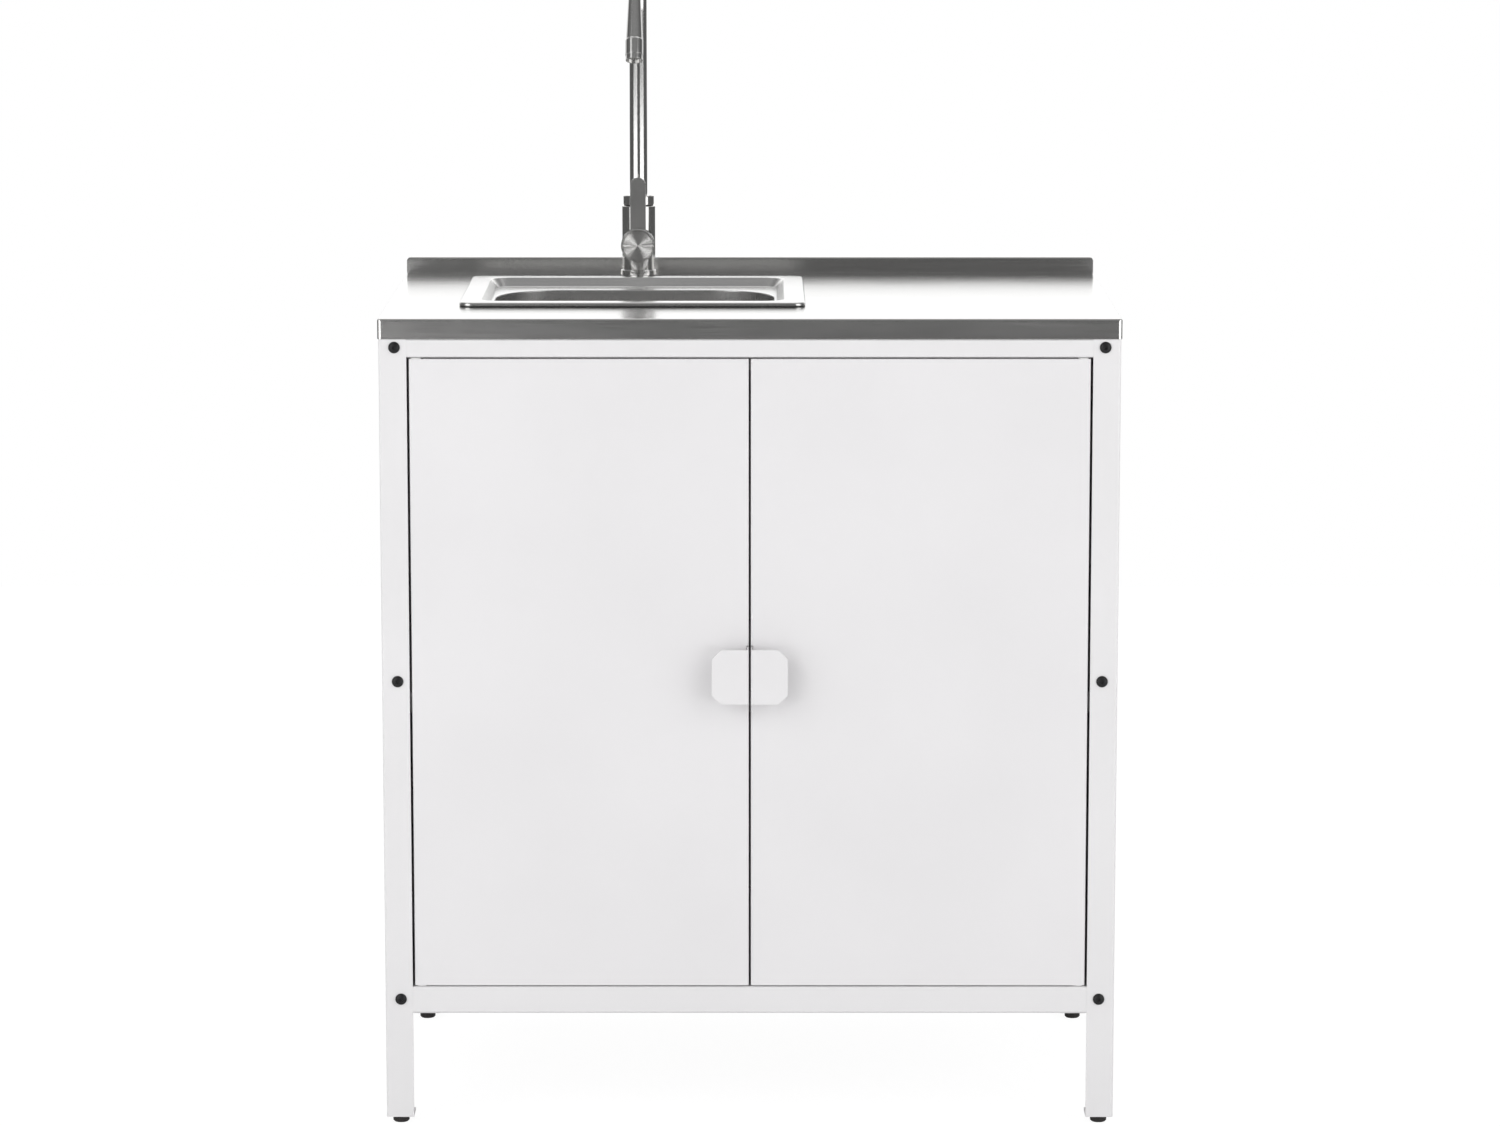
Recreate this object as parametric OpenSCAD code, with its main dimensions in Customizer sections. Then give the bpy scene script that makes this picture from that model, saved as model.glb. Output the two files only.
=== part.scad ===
// Outdoor kitchen: a folded steel cabinet on four corner legs, with two pivoting doors,
// a folded stainless worktop, a drop-in sink and a single-lever gooseneck tap.
// Millimetres. Z is up from the floor, X runs to the right, and the doors face -Y.
// The origin is on the floor at the centre of the whole object.

/* [Worktop] */
// Width of the worktop
top_w = 800; // [760:10:1000]
// Depth of the worktop
top_d = 500; // [490:10:600]
// Height of the worktop above the floor
top_z = 890; // [850:5:950]
// Height of the folded edge of the worktop
top_edge = 22; // [18:1:30]
// Thickness of the worktop sheet
top_t = 1.5; // [1:0.1:2]
// Width of the lip turned in under the edge
top_lip = 10; // [6:1:11]
// Radius of the worktop corners seen from above
top_corner = 4; // [3:0.5:8]
// Radius of the rounded worktop edges
top_round = 2.5; // [2:0.1:3]
// Height of the upstand along the back
upstand_h = 18; // [12:1:60]
// Thickness of the folded upstand
upstand_t = 12; // [8:1:13]
// Radius of the upper corners of the upstand
upstand_corner = 5; // [2.5:0.5:8]
// Overhang of the worktop past the legs
overhang = 1; // [0.5:0.5:3]

/* [Frame] */
// Width of each face of the corner legs
leg_w = 30; // [28:1:36]
// Thickness of the frame and panel steel
frame_t = 1.5; // [1.2:0.1:2]
// Inside radius of every bend in the steel
bend_r = 1; // [0.6:0.1:1.5]
// Height of the top rails
rail_h = 20; // [19:1:30]
// Depth of the flanges of the front top rail
front_flange = 30; // [26:1:40]
// Depth of the flanges of the rear top rail
rear_flange = 12; // [8:1:12]
// Height of the edge of the base tray
tray_edge = 30; // [26:1:45]
// Clear height under the base tray
under_h = 125; // [90:5:180]
// Thickness of the plate at the foot of each leg
foot_plate = 3; // [2:0.5:5]

/* [Panels] */
// Width of the flange of a side panel behind the front leg
side_flange = 24; // [22:1:26]
// Width of the flange of a side panel behind the rear leg
back_seat = 35; // [33:1:45]
// Height of the shelf above the floor
shelf_z = 480; // [380:5:520]
// Height of the turned-down edges of the shelf
shelf_edge = 25; // [18:1:35]
// Width of the service opening in the back panel
service_w = 170; // [120:5:220]
// Height of the service opening in the back panel
service_h = 110; // [80:5:140]
// Number of vent slots in the back panel
vent_count = 6; // [3:1:8]
// Length of each vent slot
vent_len = 110; // [60:5:140]

/* [Glides] */
// Radius of a glide foot
glide_r = 9; // [7:0.5:10]
// Height of a glide foot
glide_h = 8; // [5:0.5:15]
// Radius of the stem of a glide foot
glide_stem_r = 3; // [2.5:0.1:4]

/* [Bolts] */
// Radius of the bolt shank
bolt_r = 3; // [2.5:0.1:3.5]
// Radius of the button head
bolt_head_r = 6.25; // [5.5:0.25:6.5]
// Height of the button head
bolt_head_h = 3.3; // [2.8:0.1:3.6]
// Distance of the bolts from the outer face of the leg
bolt_in = 17; // [15:0.5:18]
// Distance across the flats of a nut
nut_af = 10; // [8:0.5:10]

/* [Doors] */
// Thickness of the door sheet
door_t = 1.2; // [0.8:0.1:1.5]
// Depth of the folded door
door_d = 18; // [16:0.5:20]
// Width of the inner lip of a door
door_lip = 10; // [6:1:12]
// Gap between a door and the leg
side_gap = 2.5; // [2.5:0.1:4]
// Gap between the two doors
mid_gap = 2.3; // [2:0.1:4]
// Gap above and below a door
end_gap = 1.5; // [1.5:0.1:3]
// Distance of a door pivot from the door's edge
pivot_x = 7.5; // [7:0.1:8]
// Distance of a door pivot behind the door's face
pivot_y = 6.5; // [6.2:0.1:7]
// Radius of a pivot pin
pin_r = 3; // [2.5:0.1:3.2]
// Length of a pivot pin inside the door
pin_in = 8; // [6:0.5:12]
// Width of the stiffener in a door
stiff_w = 60; // [40:5:90]

/* [Handles] */
// Width of a handle plate
handle_w = 40; // [30:1:50]
// Height of a handle plate
handle_h = 60; // [40:1:80]
// Distance of the outer face of a handle from the door
handle_reach = 22; // [18:1:28]
// Thickness of the handle plate
handle_t = 1.5; // [1.2:0.1:2]
// Chamfer of the outer corners of a handle
handle_cut = 10; // [5:1:14]
// Height of the middle of the handles above the floor
handle_z = 503; // [430:1:600]

/* [Sink] */
// Distance of the sink's middle to the left of the worktop's middle
sink_x = 129; // [110:1:150]
// Distance of the sink from the back edge of the worktop
sink_back = 95; // [92:1:110]
// Width of the sink over its rim
sink_w = 380; // [360:1:400]
// Depth of the sink over its rim
sink_d = 290; // [280:1:295]
// Height of the rim above the worktop
rim_h = 5; // [4:0.1:7]
// Width of the border at the front and back
rim_end = 20; // [18:0.5:24]
// Width of the border at the sides
rim_side = 23; // [20:0.5:26]
// Radius of the sink's outer corners
rim_corner = 14; // [12:0.5:20]
// Radius of the rounded edge of the rim
rim_round = 2.5; // [1:0.1:2.6]
// Thickness of the sink sheet
sink_t = 1; // [0.8:0.1:1.2]
// Drop from the rim to the step round the bowl
step_drop = 10; // [8:0.5:14]
// Slope of the wall down to the step
step_slope = 8; // [4:0.5:10]
// Width of the bowl
bowl_w = 312; // [290:1:314]
// Depth of the bowl from front to back
bowl_d = 196; // [180:1:200]
// Distance of the bowl behind the step's front wall
bowl_y = 3; // [2:0.5:8]
// Height of the bowl wall below the step
bowl_h = 130; // [110:1:160]
// Radius of the bowl's corners
bowl_corner = 75; // [60:1:80]
// Radius between the bowl's wall and floor
bowl_fillet = 22; // [15:1:30]
// Thickness of the rubber seal under the rim
seal_t = 1.2; // [0.8:0.1:2]

/* [Waste] */
// Radius of the hole in the bowl's floor
waste_r = 31; // [29:0.5:34]
// Depth of the waste cup
waste_h = 24; // [20:1:30]
// Radius of the outlet pipe
pipe_r = 20; // [16:0.5:22]
// Wall of the pipe and the trap
pipe_t = 2; // [1.5:0.1:3]
// Radius of the trap's bottle
trap_r = 32; // [29:0.5:36]
// Height of the trap's bottle
trap_h = 96; // [80:1:110]
// Length of the waste tail above the trap
tail_h = 40; // [34:1:50]

/* [Tap] */
// Distance of the tap's axis from the back edge of the worktop
tap_back = 37; // [37:1:44]
// Radius of the tap body
body_r = 19; // [18:0.5:21]
// Height of the tap body above the worktop
body_h = 81; // [76:1:95]
// Radius of the base ring
base_r = 21; // [20:0.5:23]
// Height of the base ring
base_h = 6; // [4:0.5:8]
// Radius of the threaded shank under the worktop
shank_r = 16; // [14:0.5:16.5]
// Length of the shank under the worktop sheet
shank_h = 42; // [36:1:50]
// Radius of the inlet threads
inlet_r = 5; // [4:0.1:5.5]
// Depth of the inlet threads
inlet_h = 14; // [10:1:18]
// Height of the lever's axis above the worktop
lever_z = 38; // [36:1:44]
// Distance of the lever's ball from the tap's axis
lever_out = 25; // [24:0.5:30]
// Radius of the mixer ball
ball_r = 17; // [16:0.25:18]
// Radius of the lever cap
cap_r = 19.5; // [19:0.25:21]
// Length of the lever cap
cap_len = 18; // [17:0.5:22]
// Width of the lever blade
blade_w = 18; // [12:1:22]
// Thickness of the lever blade
blade_t = 4; // [3:0.5:6]
// Height of the blade's top above the lever's axis
blade_top = 78; // [60:1:95]
// Tilt of the lever when it is fully open
lever_tilt = 20; // [10:1:22]

/* [Spout] */
// Outside radius of the riser
riser_r = 10; // [9:0.25:11]
// Wall of the spout tube
tube_t = 1.5; // [1:0.1:2]
// Radius of the bend of the gooseneck
neck_r = 85; // [75:1:95]
// Height of the centre of the bend above the worktop
neck_z = 305; // [260:1:360]
// Angle that the gooseneck turns through
neck_angle = 155; // [140:1:170]
// Outside radius of the tube at its narrowest
tip_r = 6.5; // [6:0.25:8]
// Outside radius of the outlet
outlet_r = 10; // [9:0.25:11]
// Length from the end of the bend to the outlet
tip_len = 89; // [70:1:100]
// Length of the outlet collar
outlet_h = 19; // [14:1:24]
// Height of the swivel collar
collar_h = 10.5; // [8:0.5:14]
// Radius of the swivel collar
collar_r = 17.5; // [15:0.25:19]

/* [Hidden] */
$fn = 64;

white = [0.93, 0.92, 0.93];
steel = [0.62, 0.61, 0.6];
dark = [0.13, 0.12, 0.12];
brass = [0.75, 0.62, 0.36];
plastic = [0.9, 0.9, 0.89];

// Clearances: run between parts that move, slip between a pin and its hole, and a cutting margin
run = 0.3;
slip = 0.05;
cut = 1;

// Heights
edge_z = top_z - top_edge;
rail_z = edge_z - rail_h;
tray_z = under_h + tray_edge;
door_z = tray_z + end_gap;
door_h = rail_z - end_gap - door_z;
mid_z = door_z + door_h / 2;
sheet_z = top_z - top_t;

// Depths, with the object's middle at y = 0
leg_d = top_d - 2 * overhang;
front_y = -(handle_reach + leg_d + bolt_head_h) / 2 + handle_reach;
back_y = front_y + leg_d;
top_y = front_y - overhang;

// Widths
leg_x = top_w / 2 - overhang;
clear_x = leg_x - leg_w;
skin_x = leg_x - 2 * frame_t;
door_w = clear_x - side_gap - mid_gap / 2;
door_x = clear_x - side_gap;
bolt_x = leg_x - bolt_in;
// Bolts sit a little above the middle of the tray's edge and of the top rail
bolt_lift = 1;
mid_bolt_drop = 7;
bolt_rows = [
    under_h + tray_edge / 2 + bolt_lift, mid_z - mid_bolt_drop, rail_z + rail_h / 2 + bolt_lift
];
// Tabs at the ends of the rails, clear of the bends above and below them
tab_gap = 1.5;
tab_h = rail_h - 2 * frame_t - 2 * tab_gap;
tray_tab_h = tray_edge - 10;

// Folded sheet: a strip of thickness t along a line whose corners are bent round
bend_n = 4;
function unit(v) = v / norm(v);
function turned(v) = [-v[1], v[0]];
function bend_points(before, corner, after, r) =
    let (a = unit(before - corner), b = unit(after - corner))
    let (half = acos(a * b) / 2, centre = corner + unit(a + b) * r / sin(half))
    let (from = corner + a * r / tan(half) - centre, to = corner + b * r / tan(half) - centre)
    let (start = atan2(from[1], from[0]), stop = atan2(to[1], to[0]))
    let (sweep = (stop - start + 540) % 360 - 180)
    [for (k = [0 : bend_n]) let (a = start + sweep * k / bend_n) centre + r * [cos(a), sin(a)]];
function bent_line(p, r) = [
    for (i = [0 : len(p) - 1])
        each i == 0 || i == len(p) - 1 ? [p[i]] : bend_points(p[i - 1], p[i], p[i + 1], r)
];
function side_line(line, w) = [
    for (i = [0 : len(line) - 1])
        let (last = i == len(line) - 1)
        let (back = i == 0 ? unit(line[1] - line[0]) : unit(line[i] - line[i - 1]))
        let (ahead = last ? back : unit(line[i + 1] - line[i]))
        let (mid = unit(back + ahead))
        line[i] + turned(mid) * w / (mid * ahead)
];
module folded(points, t) {
    line = bent_line(points, bend_r + t / 2);
    right = side_line(line, -t / 2);
    polygon(concat(side_line(line, t / 2), [for (i = [len(right) - 1 : -1 : 0]) right[i]]));
}

// A profile drawn in Y and Z, drawn out along X
module along_x(length) {
    translate([-length / 2, 0, 0]) rotate([90, 0, 90]) linear_extrude(length) children();
}

// A profile drawn in X and Z, drawn out backwards along Y
module along_y(length) {
    translate([0, length, 0]) rotate([90, 0, 0]) linear_extrude(length) children();
}

// A block centred in X and Y that stands on z = 0
module slab(w, d, h) {
    translate([-w / 2, -d / 2, 0]) cube([w, d, h]);
}

// A rectangle with round corners, from its lower left corner
module soft_rect(w, h, r) {
    translate([r, 0]) square([w - 2 * r, h]);
    translate([0, r]) square([w, h - 2 * r]);
    for (x = [r, w - r], y = [r, h - r]) translate([x, y]) circle(r);
}
module soft_plate(w, d, r, h) {
    translate([-w / 2, -d / 2, 0]) linear_extrude(h) soft_rect(w, d, r);
}

// A round-cornered block whose profile is swept round its outline.
// The profile is drawn outwards from the corner's centre, x from 0 to r and y up.
module swept_block(w, d, r) {
    for (x = [-1, 1], y = [-1, 1])
        translate([x * (w / 2 - r), y * (d / 2 - r), 0]) rotate_extrude() children();
    for (a = [0, 180]) {
        rotate(a) translate([0, d / 2 - r, 0]) rotate([90, 0, 90])
            translate([0, 0, -(w / 2 - r)]) linear_extrude(w - 2 * r) children();
        rotate(a) translate([w / 2 - r, 0, 0]) rotate([90, 0, 0])
            translate([0, 0, -(d / 2 - r)]) linear_extrude(d - 2 * r) children();
    }
}
// The same block filled in the middle, with its wall leaning out by slope
module leaning_block(w, d, h, r, slope) {
    swept_block(w, d, r) polygon([[0, 0], [r - slope, 0], [r, h], [0, h]]);
    slab(w - 2 * r, d - 2 * r, h);
}
// A bowl-shaped block with a fillet f round its floor
module bowl_block(w, d, h, r, f) {
    swept_block(w, d, r) {
        translate([0, f]) square([r, h - f]);
        square([r - f, h]);
        translate([r - f, f]) circle(f);
    }
    slab(w - 2 * r, d - 2 * r, h);
}
// A ring that stands on z = 0
module ring(outer, inner, h) {
    difference() {
        cylinder(h = h, r = outer);
        translate([0, 0, -cut]) cylinder(h = h + 2 * cut, r = inner);
    }
}

// Places: a corner leg, a door, the sink, the bowl's middle and the tap
module at_left_front() {
    translate([-leg_x, front_y, 0]) children();
}
module flip_x(on) {
    if (on) mirror([1, 0, 0]) children();
    else children();
}
module flip_back(on) {
    if (on) translate([0, front_y + back_y, 0]) mirror([0, 1, 0]) children();
    else children();
}
module at_left_door() {
    translate([-door_x, front_y, door_z]) children();
}
rim_z = top_z + rim_h;
step_z = rim_z - step_drop;
floor_z = step_z - bowl_h;
sink_mid = top_y + top_d - sink_back - sink_d / 2;
step_d = sink_d - 2 * rim_end - 2 * step_slope;
bowl_mid = sink_mid - step_d / 2 + bowl_y + bowl_d / 2;
module at_bowl(z) {
    translate([-sink_x, bowl_mid, z]) children();
}
module at_sink(z) {
    translate([-sink_x, sink_mid, z]) children();
}
module at_tap(z) {
    translate([-sink_x, top_y + top_d - tap_back, z]) children();
}
// The lever's axis points forward: local Z runs out of the tap, local Y runs up
module at_ball() {
    at_tap(top_z + lever_z) translate([0, -lever_out, 0]) rotate([90, 0, 0]) children();
}

// Bolt holes through a front or rear face, at the given heights
module face_holes(rows, r) {
    for (x = [-bolt_x, bolt_x], z = rows)
        translate([x, front_y - cut, z]) rotate([-90, 0, 0]) cylinder(h = 4 * cut + 2 * frame_t, r = r);
}

// Frame

// Corner leg of folded angle with a plate and a hole for its glide
module corner_leg() {
    difference() {
        at_left_front() {
            translate([0, 0, glide_h]) linear_extrude(edge_z - glide_h)
                folded([[frame_t / 2, leg_w], [frame_t / 2, frame_t / 2], [leg_w, frame_t / 2]], frame_t);
            translate([frame_t, frame_t, glide_h]) cube([leg_w - frame_t, leg_w - frame_t, foot_plate]);
        }
        face_holes(bolt_rows, bolt_r + slip);
        at_left_front() translate([leg_w / 2, leg_w / 2, 0])
            cylinder(h = glide_h + foot_plate + cut, r = glide_stem_r + slip);
    }
}
module front_left_leg() {
    color(white) corner_leg();
}
module front_right_leg() {
    color(white) flip_x(true) corner_leg();
}
module rear_left_leg() {
    color(white) flip_back(true) corner_leg();
}
module rear_right_leg() {
    color(white) flip_x(true) flip_back(true) corner_leg();
}

// Glide foot: a disc with a bevelled underside and a stem pushed through the foot plate
module glide_feet() {
    lead = 1.5;
    color(dark)
        for (x = [false, true], y = [false, true]) flip_x(x) flip_back(y) at_left_front()
            translate([leg_w / 2, leg_w / 2, 0]) {
                cylinder(h = lead, r1 = glide_r - lead, r2 = glide_r);
                translate([0, 0, lead]) cylinder(h = glide_h - lead, r = glide_r);
                cylinder(h = glide_h + foot_plate + 2, r = glide_stem_r);
            }
}

// A top rail is a channel with a tab at each end that lies behind the leg's face
module top_rail(flange) {
    difference() {
        union() {
            translate([0, front_y, rail_z]) along_x(2 * clear_x) folded([
                [flange, frame_t / 2], [frame_t / 2, frame_t / 2],
                [frame_t / 2, rail_h - frame_t / 2], [flange, rail_h - frame_t / 2]
            ], frame_t);
            for (x = [false, true]) flip_x(x)
                translate([-skin_x, front_y + frame_t, bolt_rows[2] - tab_h / 2])
                    cube([skin_x - clear_x + leg_w, frame_t, tab_h]);
        }
        face_holes([bolt_rows[2]], bolt_r + slip);
    }
}
module front_top_rail() {
    color(white) difference() {
        top_rail(front_flange);
        door_pin_holes();
        rail_screw_holes();
    }
}
module rear_top_rail() {
    color(white) flip_back(true) difference() {
        top_rail(rear_flange);
        rail_screw_holes();
    }
}
module door_pin_holes() {
    for (x = [false, true]) flip_x(x) at_left_door() for (z = [0, door_h])
        translate([pivot_x, pivot_y, z - end_gap - frame_t - cut])
            cylinder(h = 2 * (end_gap + frame_t + cut), r = pin_r + slip);
}

// Base tray: the cabinet floor, with deep turned-down edges that make the lower rails
module tray_face() {
    translate([0, front_y, under_h]) along_x(2 * clear_x) folded([
        [tray_edge / 2, frame_t / 2], [frame_t / 2, frame_t / 2],
        [frame_t / 2, tray_edge - frame_t / 2], [tray_edge / 2, tray_edge - frame_t / 2]
    ], frame_t);
    for (x = [false, true]) flip_x(x)
        translate([-skin_x, front_y + frame_t, bolt_rows[0] - 2 * bolt_lift - tray_tab_h / 2])
            cube([skin_x - clear_x + leg_w, frame_t, tray_tab_h]);
}
module base_tray() {
    inner = 2 * frame_t;
    color(white) difference() {
        union() {
            translate([-skin_x, front_y + inner, tray_z - frame_t])
                cube([2 * skin_x, leg_d - 2 * inner, frame_t]);
            for (y = [false, true]) flip_back(y) tray_face();
            for (x = [false, true]) flip_x(x)
                translate([-skin_x, front_y + inner, under_h]) cube([frame_t, leg_d - 2 * inner, tray_edge]);
        }
        for (y = [false, true]) flip_back(y) face_holes([bolt_rows[0]], bolt_r + slip);
        door_pin_holes();
    }
}

// Side panel: a sheet inside the legs, with flanges behind the leg faces and a lip on top
flange_gap = 5;
side_in = 4;
module side_panel() {
    y0 = front_y + 1.5 * frame_t;
    y1 = back_y - 1.5 * frame_t;
    x0 = -leg_x + 1.5 * frame_t;
    low = tray_z + flange_gap;
    color(white) difference() {
        union() {
            translate([0, 0, low]) linear_extrude(rail_z - flange_gap - low)
                folded([[x0 - frame_t / 2 + side_flange, y0], [x0, y0], [x0, y1],
                    [x0 - frame_t / 2 + back_seat, y1]], frame_t);
            translate([x0 - frame_t / 2, y0 + side_in, under_h])
                cube([frame_t, y1 - y0 - 2 * side_in, edge_z - under_h]);
            translate([x0 - frame_t / 2, front_y + leg_w, edge_z - frame_t])
                cube([top_lip + side_in, leg_d - 2 * leg_w, frame_t]);
        }
        for (y = [false, true]) flip_back(y) face_holes([bolt_rows[1]], bolt_r + slip);
        peg_holes();
    }
}
module left_side_panel() {
    side_panel();
}
module right_side_panel() {
    flip_x(true) side_panel();
}

// Shelf and its pegs
shelf_in = 6;
shelf_play = 0.5;
shelf_lip = 10;
shelf_w = 2 * (skin_x - shelf_play);
shelf_y0 = front_y + door_d + shelf_in;
shelf_y1 = back_y - 3 * frame_t - 4 * shelf_play;
peg_r = 4;
peg_len = 9;
peg_in = 60;
peg_z = shelf_z - shelf_edge - peg_r;
module mid_shelf() {
    depth = shelf_y1 - shelf_y0;
    low = -shelf_edge + frame_t / 2;
    color(white) translate([0, 0, shelf_z]) {
        translate([0, shelf_y0, 0]) along_x(shelf_w - 2 * frame_t) folded([
            [shelf_lip, low], [frame_t / 2, low], [frame_t / 2, -frame_t / 2],
            [depth - frame_t / 2, -frame_t / 2], [depth - frame_t / 2, low], [depth - shelf_lip, low]
        ], frame_t);
        for (x = [false, true]) flip_x(x)
            translate([-shelf_w / 2, shelf_y0, -shelf_edge]) cube([frame_t, depth, shelf_edge]);
    }
}
module peg_places() {
    for (y = [shelf_y0 + peg_in, shelf_y1 - peg_in])
        translate([-leg_x + frame_t, y, peg_z]) rotate([0, 90, 0]) children();
}
module peg_holes() {
    peg_places() translate([0, 0, -cut]) cylinder(h = frame_t + 2 * cut, r = peg_r / 2 + slip);
}
module shelf_pegs() {
    color(steel) for (x = [false, true]) flip_x(x) peg_places() {
        cylinder(h = frame_t + 1, r = peg_r / 2);
        translate([0, 0, frame_t]) cylinder(h = peg_len, r = peg_r);
    }
}

// Back panel with vent slots and a rounded service opening for the waste pipe
back_lap = 9;
back_foot = 8;
back_w = 2 * (leg_x - frame_t - back_seat + back_lap);
service_corner = 12;
slot_r = 3;
slot_step = 14;
slots_up = 60;
module back_panel() {
    y = back_y - 3 * frame_t;
    color(white) difference() {
        union() {
            translate([-back_w / 2, y, tray_z]) cube([back_w, frame_t, rail_z - tray_z]);
            translate([0, y, tray_z]) mirror([0, 1, 0]) along_x(back_w) square([back_foot, frame_t]);
        }
        translate([-sink_x - service_w / 2, y - cut, pipe_z - service_h / 2])
            along_y(frame_t + 2 * cut) soft_rect(service_w, service_h, service_corner);
        for (x = [-back_w / 4, back_w / 4], i = [0 : vent_count - 1])
            translate([x - vent_len / 2, y - cut, tray_z + slots_up + i * slot_step])
                along_y(frame_t + 2 * cut) soft_rect(vent_len, 2 * slot_r, slot_r - 0.01);
    }
}

// Worktop

// Folded worktop: rounded edges all round, open underneath, with the hollow upstand at the back
module worktop_shell(inset) {
    w = top_w - 2 * inset;
    d = top_d - 2 * inset;
    r = max(top_round - inset, 0.5);
    h = top_edge - inset;
    translate([0, top_y + top_d / 2, 0]) intersection() {
        translate([0, 0, edge_z]) soft_plate(w, d, top_corner - inset, h);
        translate([0, -d / 2, edge_z]) along_x(w) {
            soft_rect(d, h, r);
            square([d, h / 2]);
            translate([d - r, h - r]) square([r, r]);
        }
        translate([-w / 2, -d / 2, edge_z]) along_y(d) {
            soft_rect(w, h, r);
            square([w, h / 2]);
        }
    }
}
module upstand_shell(inset) {
    w = top_w - 2 * inset;
    t = upstand_t - 2 * inset;
    h = top_edge + upstand_h - inset;
    r = min(top_round, t / 2 - 0.5);
    translate([0, top_y + top_d - upstand_t / 2, edge_z]) intersection() {
        translate([0, -t / 2, 0]) along_x(w) {
            soft_rect(t, h, r);
            square([t, h / 2]);
        }
        translate([-w / 2, -t / 2, 0]) along_y(t) {
            soft_rect(w, h, upstand_corner);
            square([w, h / 2]);
        }
    }
}
hole_in = 9;
hole_corner = rim_corner - 4;
screw_r = 2;
screw_head_r = 3.5;
screw_head_h = 2.2;
screw_up = 3;
screw_in = overhang + frame_t + bend_r + screw_head_r;
screw_end = 70;
screw_xs = [-leg_x + screw_end, -10, leg_x - screw_end];
module sink_hole(h) {
    at_sink(0) soft_plate(sink_w - 2 * hole_in, sink_d - 2 * hole_in, hole_corner, h);
}
module worktop() {
    color(steel) difference() {
        union() {
            worktop_shell(0);
            upstand_shell(0);
        }
        difference() {
            union() {
                worktop_shell(top_t);
                upstand_shell(top_t);
            }
            // The lip that is turned in under the edge stays
            difference() {
                translate([0, top_y + top_d / 2, edge_z]) slab(top_w, top_d, top_t);
                translate([0, top_y + top_d / 2, edge_z - cut])
                    slab(top_w - 2 * top_lip, top_d - 2 * top_lip, top_t + 2 * cut);
            }
        }
        translate([0, top_y + top_d / 2, edge_z - cut])
            slab(top_w - 2 * top_lip, top_d - 2 * top_lip, cut + top_t);
        translate([0, 0, sheet_z - cut]) sink_hole(top_t + 2 * cut);
        at_tap(sheet_z - cut) cylinder(h = top_t + 2 * cut, r = shank_r + 1);
        worktop_screw_places() translate([0, 0, -cut]) cylinder(h = top_t + 2 * cut, r = screw_r + slip);
    }
}

// Ribs: hat channels glued under the worktop sheet, one left of the sink and two right of it
rib_w = 24;
rib_foot = 8;
rib_gap = 2;
sink_left = -sink_x - sink_w / 2;
sink_right = -sink_x + sink_w / 2;
rib_places = [(-leg_x + sink_left) / 2 - 2, sink_right + 32, (sink_right + leg_x) / 2 + 16];
module worktop_ribs() {
    half = frame_t / 2;
    h = sheet_z - edge_z;
    color(white) for (x = rib_places)
        translate([x - rib_w / 2, top_y + top_lip + rib_gap, edge_z])
            along_y(top_d - upstand_t - top_lip - 2 * rib_gap) folded([
                [-rib_foot, h - half], [half, h - half], [half, half],
                [rib_w - half, half], [rib_w - half, h - half], [rib_w + rib_foot, h - half]
            ], frame_t);
}

// Screws that hold the worktop's lip down on the top rails
module worktop_screw_places() {
    for (x = screw_xs, y = [top_y + screw_in, top_y + top_d - screw_in]) translate([x, y, edge_z]) children();
}
module rail_screw_holes() {
    for (x = screw_xs) translate([x, top_y + screw_in, edge_z - frame_t - cut])
        cylinder(h = frame_t + 2 * cut, r = screw_r + slip);
}
module worktop_screws() {
    shank = screw_up + top_t + frame_t;
    color(steel) worktop_screw_places() mirror([0, 0, 1]) translate([0, 0, -top_t - screw_up]) {
        cylinder(h = shank, r = screw_r);
        translate([0, 0, shank]) difference() {
            cylinder(h = screw_head_h, r = screw_head_r);
            translate([0, 0, screw_head_h - 1]) slab(2 * screw_head_r, 1, 1 + cut);
        }
    }
}

// Bolts and nuts of the frame
module bolt_places() {
    for (y = [false, true]) flip_back(y) for (x = [-bolt_x, bolt_x], z = bolt_rows)
        translate([x, front_y, z]) rotate([-90, 0, 0]) children();
}
nut_h = 5;
bolt_len = 2 * frame_t + nut_h + 3;
socket_r = 2.3;
socket_h = 2;
module frame_bolts() {
    dome = bolt_head_h - 1;
    dome_r = (bolt_head_r * bolt_head_r + dome * dome) / (2 * dome);
    color(dark) bolt_places() {
        difference() {
            intersection() {
                translate([0, 0, -bolt_head_h]) cylinder(h = bolt_head_h, r = bolt_head_r);
                translate([0, 0, dome_r - bolt_head_h]) sphere(dome_r);
            }
            translate([0, 0, -bolt_head_h - cut]) cylinder(h = socket_h + cut, r = socket_r, $fn = 6);
        }
        cylinder(h = bolt_len, r = bolt_r);
    }
}
module frame_nuts() {
    color(steel) bolt_places() translate([0, 0, 2 * frame_t]) difference() {
        cylinder(h = nut_h, r = nut_af / 2 / cos(30), $fn = 6);
        translate([0, 0, -cut]) cylinder(h = nut_h + 2 * cut, r = bolt_r + slip);
    }
}

// Doors

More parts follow.
